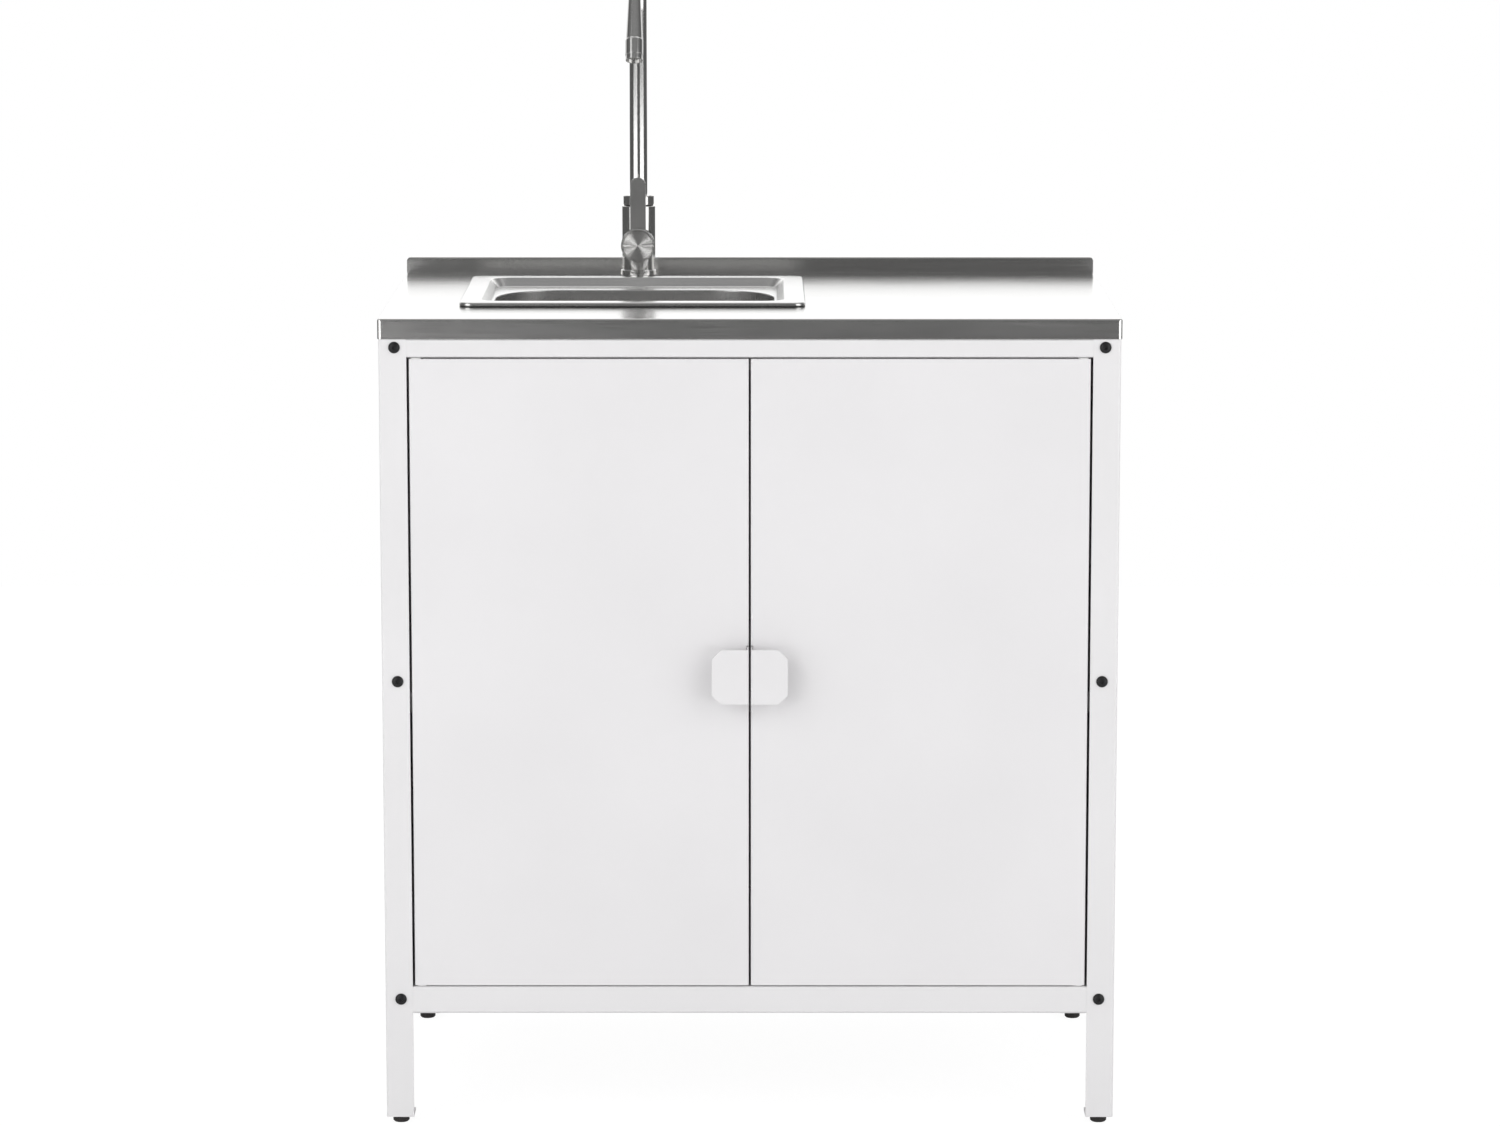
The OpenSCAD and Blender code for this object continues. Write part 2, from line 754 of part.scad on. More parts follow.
// Everything of the left door is drawn with x inwards from its outer edge and y back from its face
module for_side(right) {
    flip_x(right) at_left_door() children();
}
outer_r = bend_r + door_t;
handle_low = handle_z - door_z - handle_h / 2;
notch_gap = 1;
bush_t = 1.6;
bush_r = pin_r + bush_t;
bush_collar_r = pin_r + 3;
bush_len = 5;
module door_pan() {
    back = door_d - door_t / 2;
    half = door_t / 2;
    color(white) difference() {
        union() {
            linear_extrude(door_h) folded([
                [door_lip, back], [half, back], [half, half],
                [door_w - half, half], [door_w - half, back], [door_w - door_lip, back]
            ], door_t);
            for (z = [0, door_h - door_t]) translate([0, 0, z]) linear_extrude(door_t)
                soft_rect(door_w, door_d, outer_r);
        }
        // Notch for the handle in the inner edge, with a small relief above and below it
        translate([door_w - handle_t - bend_r - 0.1, -cut, handle_low - notch_gap])
            cube([handle_t + bend_r + cut, cut + door_t + handle_t + slip, handle_h + 2 * notch_gap]);
        bush_places() translate([0, 0, -cut]) cylinder(h = door_t + 2 * cut, r = bush_r + slip);
    }
}

// Nylon bush in the top and bottom flange of a door, with a collar that carries it on the frame
module bush_places() {
    translate([pivot_x, pivot_y, 0]) children();
    translate([pivot_x, pivot_y, door_h]) mirror([0, 0, 1]) children();
}
module hinge_bushes() {
    color(plastic) bush_places() difference() {
        union() {
            translate([0, 0, -end_gap + run]) cylinder(h = end_gap - run, r = bush_collar_r);
            translate([0, 0, -slip]) cylinder(h = door_t + bush_len, r = bush_r);
        }
        translate([0, 0, -cut - end_gap])
            cylinder(h = end_gap + door_t + bush_len + 2 * cut, r = pin_r + slip);
    }
}
// The pin's head lies in the bend of the rail, clear of its inner radius
pin_head_r = pivot_y - frame_t - bend_r;
pin_head_h = 2;
module hinge_pins() {
    color(steel) for (x = [false, true]) flip_x(x) at_left_door() bush_places() {
        translate([0, 0, -end_gap - frame_t]) cylinder(h = end_gap + frame_t + pin_in, r = pin_r);
        translate([0, 0, -end_gap - frame_t - pin_head_h]) cylinder(h = pin_head_h, r = pin_head_r);
    }
}

// Handle: one bent plate, flush in the door's edge, with a foot welded behind the door's face
handle_foot = 15;
module handle() {
    half = handle_t / 2;
    color(white) intersection() {
        translate([0, 0, handle_low]) linear_extrude(handle_h) folded([
            [door_w - handle_foot, door_t + half], [door_w - half, door_t + half],
            [door_w - half, -handle_reach + half], [door_w - handle_w, -handle_reach + half]
        ], handle_t);
        translate([door_w - handle_w, -handle_reach - cut, handle_low]) along_y(handle_reach + 10)
            polygon([
                [handle_cut, 0], [handle_w + cut, 0], [handle_w + cut, handle_h],
                [handle_cut, handle_h], [0, handle_h - handle_cut], [0, handle_cut]
            ]);
    }
}

// Stiffener: a hat channel up the middle of the door
stiff_foot = 12;
stiff_end = 12;
module stiffener() {
    half = door_t / 2;
    deep = door_d - door_t - 2;
    color(white) translate([(door_w - stiff_w) / 2, door_t, stiff_end])
        linear_extrude(door_h - 2 * stiff_end) folded([
            [0, half], [stiff_foot, half], [stiff_foot, deep - half],
            [stiff_w - stiff_foot, deep - half], [stiff_w - stiff_foot, half], [stiff_w, half]
        ], door_t);
}

// Strike plate: a steel angle under the door's top flange that meets the magnet
strike_w = 24;
strike_h = 20;
strike_t = 1.5;
strike_foot = 12;
strike_in = door_lip + 3 + strike_w / 2;
module strike() {
    half = strike_t / 2;
    color(steel) translate([door_w - strike_in, 0, door_h - door_t]) along_x(strike_w) folded([
        [door_d - strike_foot, -half], [door_d - half, -half], [door_d - half, -strike_h]
    ], strike_t);
}

module left_door_panel() {
    for_side(false) door_pan();
}
module left_handle() {
    for_side(false) handle();
}
module left_hinge_bushes() {
    for_side(false) hinge_bushes();
}
module left_stiffener() {
    for_side(false) stiffener();
}
module left_strike() {
    for_side(false) strike();
}
module right_door_panel() {
    for_side(true) door_pan();
}
module right_handle() {
    for_side(true) handle();
}
module right_hinge_bushes() {
    for_side(true) hinge_bushes();
}
module right_stiffener() {
    for_side(true) stiffener();
}
module right_strike() {
    for_side(true) strike();
}

// Magnet catch under the front top rail, facing both strikes
magnet_x = mid_gap / 2 + strike_in;
magnet_w = strike_w - 8;
magnet_h = 8;
magnet_d = 8;
catch_y = front_y + door_d + run;
catch_w = 2 * magnet_x + strike_w;
catch_d = 12;
catch_h = 14;
catch_in = 0.4;
module magnet_catch() {
    color(plastic) translate([0, catch_y, rail_z - catch_h - frame_t]) difference() {
        union() {
            translate([-catch_w / 2, catch_in, 0]) cube([catch_w, catch_d, catch_h]);
            translate([-catch_w / 2, catch_in, catch_h])
                cube([catch_w, front_flange - door_d - 2, frame_t]);
        }
        for (x = [-magnet_x, magnet_x])
            translate([x - magnet_w / 2, 0, (catch_h - magnet_h) / 2]) cube([magnet_w, magnet_d, magnet_h]);
    }
}
module catch_magnets() {
    color(dark) for (x = [-magnet_x, magnet_x])
        translate([x - magnet_w / 2, catch_y, rail_z - frame_t - (catch_h + magnet_h) / 2])
            cube([magnet_w, magnet_d, magnet_h]);
}

// Sink

// Pressed sink deck: crowned rim, sloping wall, and a step round the bowl's opening
module rim_block(inset, h) {
    r = rim_corner - inset;
    f = rim_round;
    swept_block(sink_w - 2 * inset, sink_d - 2 * inset, r) intersection() {
        square([r, h]);
        union() {
            square([r, h - f]);
            square([r - f, h]);
            translate([r - f, h - f]) circle(f);
        }
    }
    slab(sink_w - 2 * inset - 2 * r, sink_d - 2 * inset - 2 * r, h);
}
step_corner = 24;
module step_block(grow, h) {
    r = step_corner + grow;
    w = sink_w - 2 * rim_side + 2 * grow;
    d = sink_d - 2 * rim_end + 2 * grow;
    leaning_block(w, d, h, r, step_slope);
}
module sink() {
    t = sink_t;
    rim_low = top_z + seal_t;
    color(steel) difference() {
        union() {
            at_sink(rim_low) rim_block(0, rim_z - rim_low);
            at_sink(step_z - t) step_block(t, step_drop);
        }
        difference() {
            at_sink(rim_low - cut) rim_block(t, rim_z - rim_low - t + cut);
            at_sink(step_z - t - cut) step_block(t, step_drop + cut);
        }
        at_sink(step_z) step_block(0, step_drop + 0.01);
        at_bowl(step_z - t - cut) soft_plate(bowl_w, bowl_d, bowl_corner, t + 2 * cut);
    }
}

// Deep-drawn bowl, welded by a narrow flange under the step
weld_w = 3;
module sink_bowl() {
    t = sink_t;
    out = t + weld_w;
    color(steel) difference() {
        union() {
            at_bowl(floor_z - t)
                bowl_block(bowl_w + 2 * t, bowl_d + 2 * t, bowl_h, bowl_corner + t, bowl_fillet + t);
            at_bowl(step_z - 2 * t) soft_plate(bowl_w + 2 * out, bowl_d + 2 * out, bowl_corner + out, t);
        }
        at_bowl(floor_z) bowl_block(bowl_w, bowl_d, bowl_h + cut, bowl_corner, bowl_fillet);
        at_bowl(floor_z - t - cut) cylinder(h = t + 2 * cut, r = waste_r);
    }
}

// Rubber seal that lies on the worktop under the edge of the rim
seal_in = 1;
seal_w = 6;
module seal_plate(in, h) {
    soft_plate(sink_w - 2 * in, sink_d - 2 * in, rim_corner - in, h);
}
module sink_seal() {
    color(dark) at_sink(top_z) difference() {
        seal_plate(seal_in, seal_t);
        translate([0, 0, -cut]) seal_plate(seal_in + seal_w, seal_t + 2 * cut);
    }
}

// Clips that draw the rim down: bent straps between the sink's wall and the sheet
clip_w = 18;
clip_t = 1.2;
clip_reach = 6;
clip_drop = 16;
clip_leg = 22;
module sink_clips() {
    wall_x = bowl_w / 2 + sink_t + clip_t / 2;
    reach = sink_w / 2 + clip_reach;
    color(steel) for (right = [false, true], y = [-sink_d / 4, sink_d / 5]) at_sink(0) flip_x(right)
        translate([0, y - clip_w / 2, sheet_z]) along_y(clip_w) folded([
            [wall_x, -clip_drop - clip_leg], [wall_x, -clip_drop], [reach, -clip_drop], [reach, 0]
        ], clip_t);
}

// Waste: a cup with a grid in its floor, clamped in the bowl by a finned nut
tail_r = pipe_r - 1;
cup_r = waste_r - 1;
cup_t = 1.2;
cup_lip = 6;
cup_low = floor_z + cup_t - waste_h;
grid_bar = 3;
module waste_flange() {
    color(steel) at_bowl(0) difference() {
        union() {
            translate([0, 0, floor_z]) cylinder(h = cup_t, r = waste_r + cup_lip);
            translate([0, 0, cup_low]) cylinder(h = floor_z - cup_low + cup_t, r = cup_r);
        }
        translate([0, 0, cup_low + cup_t]) cylinder(h = waste_h + cut, r = cup_r - cup_t);
        difference() {
            translate([0, 0, cup_low - cut]) cylinder(h = cup_t + 2 * cut, r = tail_r - pipe_t);
            for (a = [0, 90]) rotate(a) translate([0, 0, cup_low - cut])
                slab(2 * tail_r, grid_bar, cup_t + 2 * cut);
        }
    }
}
waste_nut_h = 8;
module waste_nut() {
    color(plastic) at_bowl(floor_z - sink_t - waste_nut_h) difference() {
        union() {
            cylinder(h = waste_nut_h, r = waste_r + cup_lip);
            for (a = [0 : 45 : 359]) rotate(a) translate([waste_r + cup_lip - 1, 0, 0])
                slab(5, 8, waste_nut_h);
        }
        translate([0, 0, -cut]) cylinder(h = waste_nut_h + 2 * cut, r = cup_r + slip);
    }
}

// Tail under the cup: a flange, a cone and the pipe that goes down into the trap
tail_low = cup_low - tail_h;
tail_flange = 4;
tail_cone = 6;
module waste_body() {
    color(plastic) at_bowl(0) difference() {
        union() {
            translate([0, 0, cup_low - tail_flange]) cylinder(h = tail_flange, r = cup_r - 2);
            translate([0, 0, cup_low - tail_flange - tail_cone])
                cylinder(h = tail_cone, r1 = tail_r, r2 = cup_r - 4);
            translate([0, 0, tail_low]) cylinder(h = tail_h, r = tail_r);
        }
        translate([0, 0, tail_low - cut]) cylinder(h = tail_h + 2 * cut, r = tail_r - pipe_t);
    }
}

// Bottle trap: the tail ends inside the neck, and the outlet's socket points backwards
trap_lap = 8;
trap_neck_h = 14;
trap_shoulder = 8;
trap_wide_h = trap_h - trap_neck_h - trap_shoulder;
trap_neck_r = tail_r + pipe_t + slip;
trap_socket_r = pipe_r + pipe_t + slip;
trap_socket_len = trap_r + 18;
trap_top = tail_low + trap_lap;
trap_low = trap_top - trap_h;
pipe_z = trap_top - trap_neck_h - pipe_r;
module trap_bottle() {
    color(plastic) at_bowl(0) difference() {
        union() {
            translate([0, 0, trap_low]) cylinder(h = trap_wide_h, r = trap_r);
            translate([0, 0, trap_low + trap_wide_h])
                cylinder(h = trap_shoulder, r1 = trap_r, r2 = trap_neck_r);
            translate([0, 0, trap_top - trap_neck_h]) cylinder(h = trap_neck_h, r = trap_neck_r);
            translate([0, 0, pipe_z]) rotate([-90, 0, 0]) cylinder(h = trap_socket_len, r = trap_socket_r);
        }
        translate([0, 0, trap_low - cut]) cylinder(h = trap_wide_h - pipe_t + cut, r = trap_r - pipe_t);
        translate([0, 0, trap_low]) cylinder(h = trap_h + cut, r = tail_r + slip);
        translate([0, 0, pipe_z]) rotate([-90, 0, 0])
            cylinder(h = trap_socket_len + cut, r = pipe_r + slip);
    }
}
trap_cup_t = 3;
trap_cup_floor = 6;
trap_cup_lip = 16;
module trap_cup() {
    outer = trap_r + trap_cup_t;
    color(plastic) at_bowl(trap_low - trap_cup_floor) difference() {
        union() {
            cylinder(h = trap_cup_floor + trap_cup_lip, r = outer);
            for (a = [0 : 30 : 359]) rotate(a) translate([outer, 0, 0]) slab(2, 5, trap_cup_lip + 2);
        }
        translate([0, 0, trap_cup_t]) cylinder(h = trap_cup_floor, r = trap_r - pipe_t);
        translate([0, 0, trap_cup_floor]) cylinder(h = trap_cup_lip + cut, r = trap_r + slip);
    }
}
// Ribbed nut over a neck, with a lid that closes it down to the pipe inside
trap_nut_t = 3;
module trap_nut(neck, pipe, h) {
    outer = neck + trap_nut_t;
    difference() {
        union() {
            cylinder(h = h, r = outer);
            for (a = [0 : 30 : 359]) rotate(a) translate([outer, 0, 0]) slab(2, 4, h - 3);
        }
        translate([0, 0, -cut]) cylinder(h = h + 2 * cut, r = neck + slip);
    }
    translate([0, 0, h]) ring(outer, pipe + slip, trap_nut_t);
}
neck_nut_h = 11;
socket_nut_h = 13;
module trap_nuts() {
    color(plastic) at_bowl(0) {
        translate([0, 0, trap_top - neck_nut_h]) trap_nut(trap_neck_r, tail_r, neck_nut_h);
        translate([0, trap_socket_len - socket_nut_h, pipe_z]) rotate([-90, 0, 0])
            trap_nut(trap_socket_r, pipe_r, socket_nut_h);
    }
}

// Outlet pipe; its last stretch is a spigot, a little thinner, that takes the waste hose
pipe_start = trap_r + 2;
pipe_end = back_y + bolt_head_h - bowl_mid;
spigot_h = 30;
spigot_step = 0.5;
module outlet_pipe() {
    color(plastic) at_bowl(pipe_z) translate([0, pipe_start, 0]) rotate([-90, 0, 0]) difference() {
        union() {
            cylinder(h = pipe_end - pipe_start - spigot_h, r = pipe_r);
            cylinder(h = pipe_end - pipe_start, r = pipe_r - spigot_step);
        }
        translate([0, 0, -cut]) cylinder(h = pipe_end - pipe_start + 2 * cut, r = pipe_r - pipe_t);
    }
}

// Strainer basket that lifts out of the waste cup
basket_r = cup_r - cup_t - 0.8;
basket_t = 1;
basket_z = cup_low + cup_t + run;
module basket_hole(out, r) {
    translate([out, 0, -cut]) cylinder(h = basket_t + 2 * cut, r = r, $fn = 24);
}
module strainer_basket() {
    h = waste_h - cup_t - 1;
    color(steel) at_bowl(basket_z) difference() {
        cylinder(h = h, r = basket_r);
        translate([0, 0, basket_t]) cylinder(h = h, r = basket_r - basket_t);
        for (a = [0 : 45 : 359]) rotate(a) {
            basket_hole(basket_r * 0.72, 2.2);
            rotate(22.5) basket_hole(basket_r * 0.42, 1.8);
        }
    }
}
knob_r = 7;
post_r = 2.5;
module strainer_knob() {
    post = waste_h - 4;
    color(steel) at_bowl(basket_z + basket_t) {
        cylinder(h = post, r = post_r);
        translate([0, 0, post]) cylinder(h = 2, r1 = post_r, r2 = knob_r);
        translate([0, 0, post + 2]) cylinder(h = 3, r = knob_r);
        translate([0, 0, post + 5]) cylinder(h = 1.5, r1 = knob_r, r2 = knob_r - 2);
    }
}

// Tap
gasket_t = 1;
ring_z = top_z + gasket_t;
body_z = ring_z + base_h;
body_top = top_z + body_h;
bevel = 1;
spigot_z = top_z + lever_z + ball_r + 1;
cartridge_r = 13;
neck_out = 15;
neck_end = 6.4;
inlet_x = shank_r / 2;
spindle_r = 4;
module tap_gasket() {
    color(dark) at_tap(top_z) ring(base_r - 0.5, shank_r + 1, gasket_t);
}
module tap_base_ring() {
    color(steel) at_tap(ring_z) difference() {
        union() {
            cylinder(h = base_h - bevel, r = base_r);
            translate([0, 0, base_h - bevel]) cylinder(h = bevel, r1 = base_r, r2 = base_r - bevel);
        }
        translate([0, 0, -cut]) cylinder(h = base_h + 2 * cut, r = shank_r + slip);
    }
}
// Body with its shank, a bore for the spout and a neck in front that holds the cartridge
module tap_body() {
    color(steel) difference() {
        union() {
            at_tap(body_z) cylinder(h = body_top - body_z - bevel, r = body_r);
            at_tap(body_top - bevel) cylinder(h = bevel, r1 = body_r, r2 = body_r - bevel);
            at_tap(sheet_z - shank_h) cylinder(h = body_z - sheet_z + shank_h, r = shank_r);
            at_ball() translate([0, 0, -lever_out]) cylinder(h = lever_out - neck_end, r = neck_out);
        }
        at_tap(spigot_z - 2) cylinder(h = body_top - spigot_z + 2 + cut, r = riser_r + slip);
        at_ball() translate([0, 0, -lever_out + 2])
            cylinder(h = lever_out, r = cartridge_r + slip);
        for (x = [-inlet_x, inlet_x]) at_tap(sheet_z - shank_h - cut) translate([x, 0, 0]) {
            cylinder(h = inlet_h + cut, r = inlet_r);
            cylinder(h = body_z + 6 - sheet_z + shank_h, r = inlet_r - 1.5);
        }
    }
}

// The clamping nut bears on the underside of the worktop sheet with its round flange
tap_nut_h = 11;
tap_nut_flange = 3;
module tap_nut() {
    h = tap_nut_h + tap_nut_flange;
    color(brass) at_tap(sheet_z - h) difference() {
        union() {
            cylinder(h = tap_nut_h, r = shank_r + 3.5, $fn = 6);
            translate([0, 0, tap_nut_h]) cylinder(h = tap_nut_flange, r = shank_r + 4);
        }
        translate([0, 0, -cut]) cylinder(h = h + 2 * cut, r = shank_r + slip);
    }
}
cartridge_floor = 4;
module tap_cartridge() {
    back = lever_out - 2.5;
    color(plastic) at_ball() difference() {
        translate([0, 0, -back]) cylinder(h = back - neck_end - 0.6, r = cartridge_r);
        translate([0, 0, -back + cartridge_floor]) cylinder(h = back, r = spindle_r + slip);
    }
}
washer_t = 1.2;
module swivel_washer() {
    color(dark) at_tap(body_top) ring(collar_r - 0.5, riser_r + slip, washer_t);
}

// Spout: the riser swivels in the body and runs into a gooseneck that narrows along its bend
collar_z = body_top + washer_t + run;
neck_top = top_z + neck_z;
neck_steps = 20;
neck_sides = 24;
// Middle point, direction angle and radius of the tube at a share s of the bend
function neck_a(s) = neck_angle * s;
function neck_mid(s) = [0, -neck_r * (1 - cos(neck_a(s))), neck_r * sin(neck_a(s))];
function ease(s) = s * s * (3 - 2 * s);
// The skin's sides stand this far outside the round riser where the two join
skin_lap = 0.15;
function neck_w(s) = riser_r + skin_lap + (tip_r - riser_r - skin_lap) * ease(s);
function tube_ring(mid, a, r) = [
    for (k = [0 : neck_sides - 1])
        let (b = 360 * k / neck_sides)
        mid + r * [cos(b), sin(b) * cos(a), sin(b) * sin(a)]
];
// A closed skin over rings that all have the same number of points
module ring_skin(rings) {
    n = len(rings[0]);
    m = len(rings);
    faces = concat(
        [[for (k = [0 : n - 1]) k]],
        [for (j = [0 : m - 2], k = [0 : n - 1])
            each [[j * n + k, (j + 1) * n + k, (j + 1) * n + (k + 1) % n],
                [j * n + k, (j + 1) * n + (k + 1) % n, j * n + (k + 1) % n]]],
        [[for (k = [n - 1 : -1 : 0]) (m - 1) * n + k]]
    );
    polyhedron(points = [for (r = rings) each r], faces = faces, convexity = 8);
}
tip_turn = 180 - neck_angle;
tip_dir = [0, -sin(tip_turn), -cos(tip_turn)];
ring_h = 6;
flare_r = outlet_r - 0.7;
module neck_skin(inset, over) {
    ring_skin(concat(
        over > 0 ? [tube_ring([0, 0, -over], 0, riser_r - inset)] : [],
        [for (i = [0 : neck_steps]) let (s = i / neck_steps)
            tube_ring(neck_mid(s), neck_a(s), neck_w(s) - inset)],
        over > 0 ? [tube_ring(neck_mid(1) + tip_dir * over, neck_angle, tip_r - inset)] : []
    ));
}
// The round riser and the tube's round end both finish inside the wall of the bend
in_skin = 1;
riser_h = neck_top - spigot_z + in_skin;
flare_z = ring_h + outlet_h;
flare_h = tip_len - flare_z + in_skin;
// Grooves for the seals that turn in the tap's bore
groove_h = 2;
groove_in = 0.9;
groove_rows = [4, 10];
module spout_tube() {
    color(steel) {
        at_tap(spigot_z) difference() {
            cylinder(h = riser_h, r = riser_r);
            translate([0, 0, -cut]) cylinder(h = riser_h + 2 * cut, r = riser_r - tube_t);
            for (z = groove_rows) translate([0, 0, z]) difference() {
                cylinder(h = groove_h, r = riser_r + cut);
                translate([0, 0, -cut]) cylinder(h = groove_h + 2 * cut, r = riser_r - groove_in);
            }
        }
        at_tap(neck_top) difference() {
            neck_skin(0, 0);
            neck_skin(tube_t + 2 * skin_lap, cut);
        }
        at_outlet() translate([0, 0, flare_z]) difference() {
            cylinder(h = flare_h, r1 = flare_r, r2 = tip_r - skin_lap);
            translate([0, 0, -cut])
                cylinder(h = flare_h + 2 * cut, r1 = flare_r - tube_t, r2 = tip_r - tube_t);
        }
    }
}
module spout_seals() {
    color(dark) at_tap(spigot_z) for (z = groove_rows) translate([0, 0, z])
        ring(riser_r, riser_r - groove_in, groove_h);
}
module swivel_collar() {
    color(steel) at_tap(collar_z) difference() {
        union() {
            cylinder(h = collar_h - bevel, r = collar_r);
            translate([0, 0, collar_h - bevel]) cylinder(h = bevel, r1 = collar_r, r2 = collar_r - bevel);
        }
        translate([0, 0, -cut]) cylinder(h = collar_h + 2 * cut, r = riser_r + slip);
    }
}
// The outlet's axis is local Z, which runs back up the tube from the outlet's face
module at_outlet() {
    at_tap(neck_top) translate(neck_mid(1) + tip_dir * tip_len) rotate([-tip_turn, 0, 0]) children();
}
module outlet_collar() {
    color(steel) at_outlet() translate([0, 0, ring_h]) difference() {
        union() {
            cylinder(h = outlet_h - 1.5, r = outlet_r);
            translate([0, 0, outlet_h - 1.5]) cylinder(h = 1.5, r1 = outlet_r, r2 = flare_r);
        }
        translate([0, 0, -cut]) cylinder(h = outlet_h + 2 * cut, r = flare_r - tube_t);
    }
}
module aerator_hole(out) {
    translate([out, 0, -cut]) cylinder(h = ring_h + 2 * cut, r = 1.2, $fn = 24);
}
module aerator() {
    color(steel) at_outlet() difference() {
        cylinder(h = ring_h, r = outlet_r - 0.5);
        translate([0, 0, -cut]) cylinder(h = 2 + cut, r = outlet_r - 2);
        aerator_hole(0);
        for (a = [0 : 60 : 359]) rotate(a) aerator_hole(outlet_r * 0.46);
    }
}

// Mixer: a ball that turns in the neck, and a lever that tilts on a pin through the ball
stem_w = 8;
stem_back = 2.5;
ball_back = 6;
pin_rock_r = 1.5;
ball_gap = 0.4;
spindle_len = 10;
pin_end = 3;
module mixer_ball() {
    side = stem_w + 2 * run + 0.1;
    low = (ball_r + 1) * sin(lever_tilt) + stem_w / 2 * cos(lever_tilt) + run + 0.1;
    high = stem_w / 2 + 1;
    color(steel) at_ball() {
        difference() {
            sphere(ball_r);
            translate([0, 0, -2 * ball_r - ball_back]) slab(3 * ball_r, 3 * ball_r, 2 * ball_r);
            translate([-side / 2, -low, -stem_back - 1.9]) cube([side, low + high, 2 * ball_r]);
            rotate([0, 90, 0]) translate([0, 0, -ball_r]) cylinder(h = 2 * ball_r, r = pin_rock_r + slip / 2);
        }
        translate([0, 0, -ball_back - spindle_len]) cylinder(h = spindle_len, r = spindle_r);
    }
}
module rocker_pin() {
    color(steel) at_ball() rotate([0, 90, 0]) translate([0, 0, -ball_r + pin_end])
        cylinder(h = 2 * (ball_r - pin_end), r = pin_rock_r);
}
cap_start = 3;
cap_pocket = 1;
module lever_cap() {
    edge = 1.5;
    inner = ball_r + ball_gap;
    color(steel) at_ball() difference() {
        union() {
            translate([0, 0, cap_start]) cylinder(h = cap_len - edge, r = cap_r);
            translate([0, 0, cap_start + cap_len - edge]) cylinder(h = edge, r1 = cap_r, r2 = cap_r - edge);
        }
        sphere(inner);
        translate([0, 0, inner - 2]) slab(stem_w, stem_w, 2 + cap_pocket);
    }
}
module lever_stem() {
    color(steel) at_ball() difference() {
        translate([0, 0, -stem_back]) slab(stem_w, stem_w, stem_back + ball_r + ball_gap + cap_pocket);
        rotate([0, 90, 0]) translate([0, 0, -stem_w]) cylinder(h = 2 * stem_w, r = pin_rock_r + slip);
    }
}
module lever_blade() {
    color(steel) at_ball() difference() {
        translate([0, 0, cap_start + cap_len / 2 - blade_t / 2]) linear_extrude(blade_t) {
            translate([-blade_w / 2, 0]) square([blade_w, blade_top - blade_w / 2]);
            translate([0, blade_top - blade_w / 2]) circle(blade_w / 2);
        }
        cylinder(h = cap_len + 2 * cap_start, r = cap_r);
    }
}

front_left_leg();
front_right_leg();
rear_left_leg();
rear_right_leg();
glide_feet();
base_tray();
mid_shelf();
shelf_pegs();
left_side_panel();
right_side_panel();
back_panel();
front_top_rail();
rear_top_rail();
worktop();
worktop_ribs();
worktop_screws();
frame_bolts();
frame_nuts();
hinge_pins();
magnet_catch();
catch_magnets();
sink();
sink_bowl();
sink_seal();
sink_clips();
waste_flange();
waste_body();
waste_nut();
trap_bottle();
trap_cup();
trap_nuts();
outlet_pipe();
tap_gasket();
tap_base_ring();
tap_body();
tap_nut();
tap_cartridge();
swivel_washer();
left_door_panel();
left_handle();
left_hinge_bushes();
left_stiffener();
left_strike();
right_door_panel();
right_handle();
right_hinge_bushes();
right_stiffener();
right_strike();
spout_tube();
spout_seals();
swivel_collar();
outlet_collar();
aerator();
mixer_ball();
rocker_pin();
lever_cap();
lever_stem();
lever_blade();
strainer_basket();
strainer_knob();
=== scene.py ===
import math

import bmesh
import bpy
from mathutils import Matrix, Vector


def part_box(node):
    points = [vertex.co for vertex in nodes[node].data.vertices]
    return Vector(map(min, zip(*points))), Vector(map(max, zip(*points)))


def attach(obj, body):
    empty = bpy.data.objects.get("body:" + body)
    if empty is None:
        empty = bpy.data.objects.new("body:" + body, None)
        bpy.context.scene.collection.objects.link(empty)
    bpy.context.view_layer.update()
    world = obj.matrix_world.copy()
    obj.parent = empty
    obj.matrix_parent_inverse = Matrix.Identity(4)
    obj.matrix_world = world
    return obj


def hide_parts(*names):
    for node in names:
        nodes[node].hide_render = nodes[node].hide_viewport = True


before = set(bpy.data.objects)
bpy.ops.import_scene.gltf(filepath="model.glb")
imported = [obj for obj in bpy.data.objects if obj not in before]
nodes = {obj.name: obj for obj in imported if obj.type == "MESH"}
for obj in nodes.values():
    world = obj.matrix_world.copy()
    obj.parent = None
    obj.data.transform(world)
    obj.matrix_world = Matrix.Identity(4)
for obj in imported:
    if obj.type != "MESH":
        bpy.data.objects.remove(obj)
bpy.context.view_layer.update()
print("loaded", len(nodes), "solid parts")


class Wire:
    # one socket of a shader tree; sums and products of wires become Math nodes
    def __init__(self, tree, socket):
        self.tree = tree
        self.socket = socket

    def math(self, operation, *others):
        node = self.tree.nodes.new("ShaderNodeMath")
        node.operation = operation
        for slot, value in zip(node.inputs, (self,) + others):
            if isinstance(value, Wire):
                self.tree.links.new(value.socket, slot)
            else:
                slot.default_value = value
        return Wire(self.tree, node.outputs[0])

    def other(self, name):
        return Wire(self.tree, self.socket.node.outputs[name])

    def __add__(self, value):
        return self.math("ADD", value)

    def __mul__(self, value):
        return self.math("MULTIPLY", value)

    def __rsub__(self, value):
        return (self * -1).math("ADD", value)

    __radd__ = __add__
    __rmul__ = __mul__


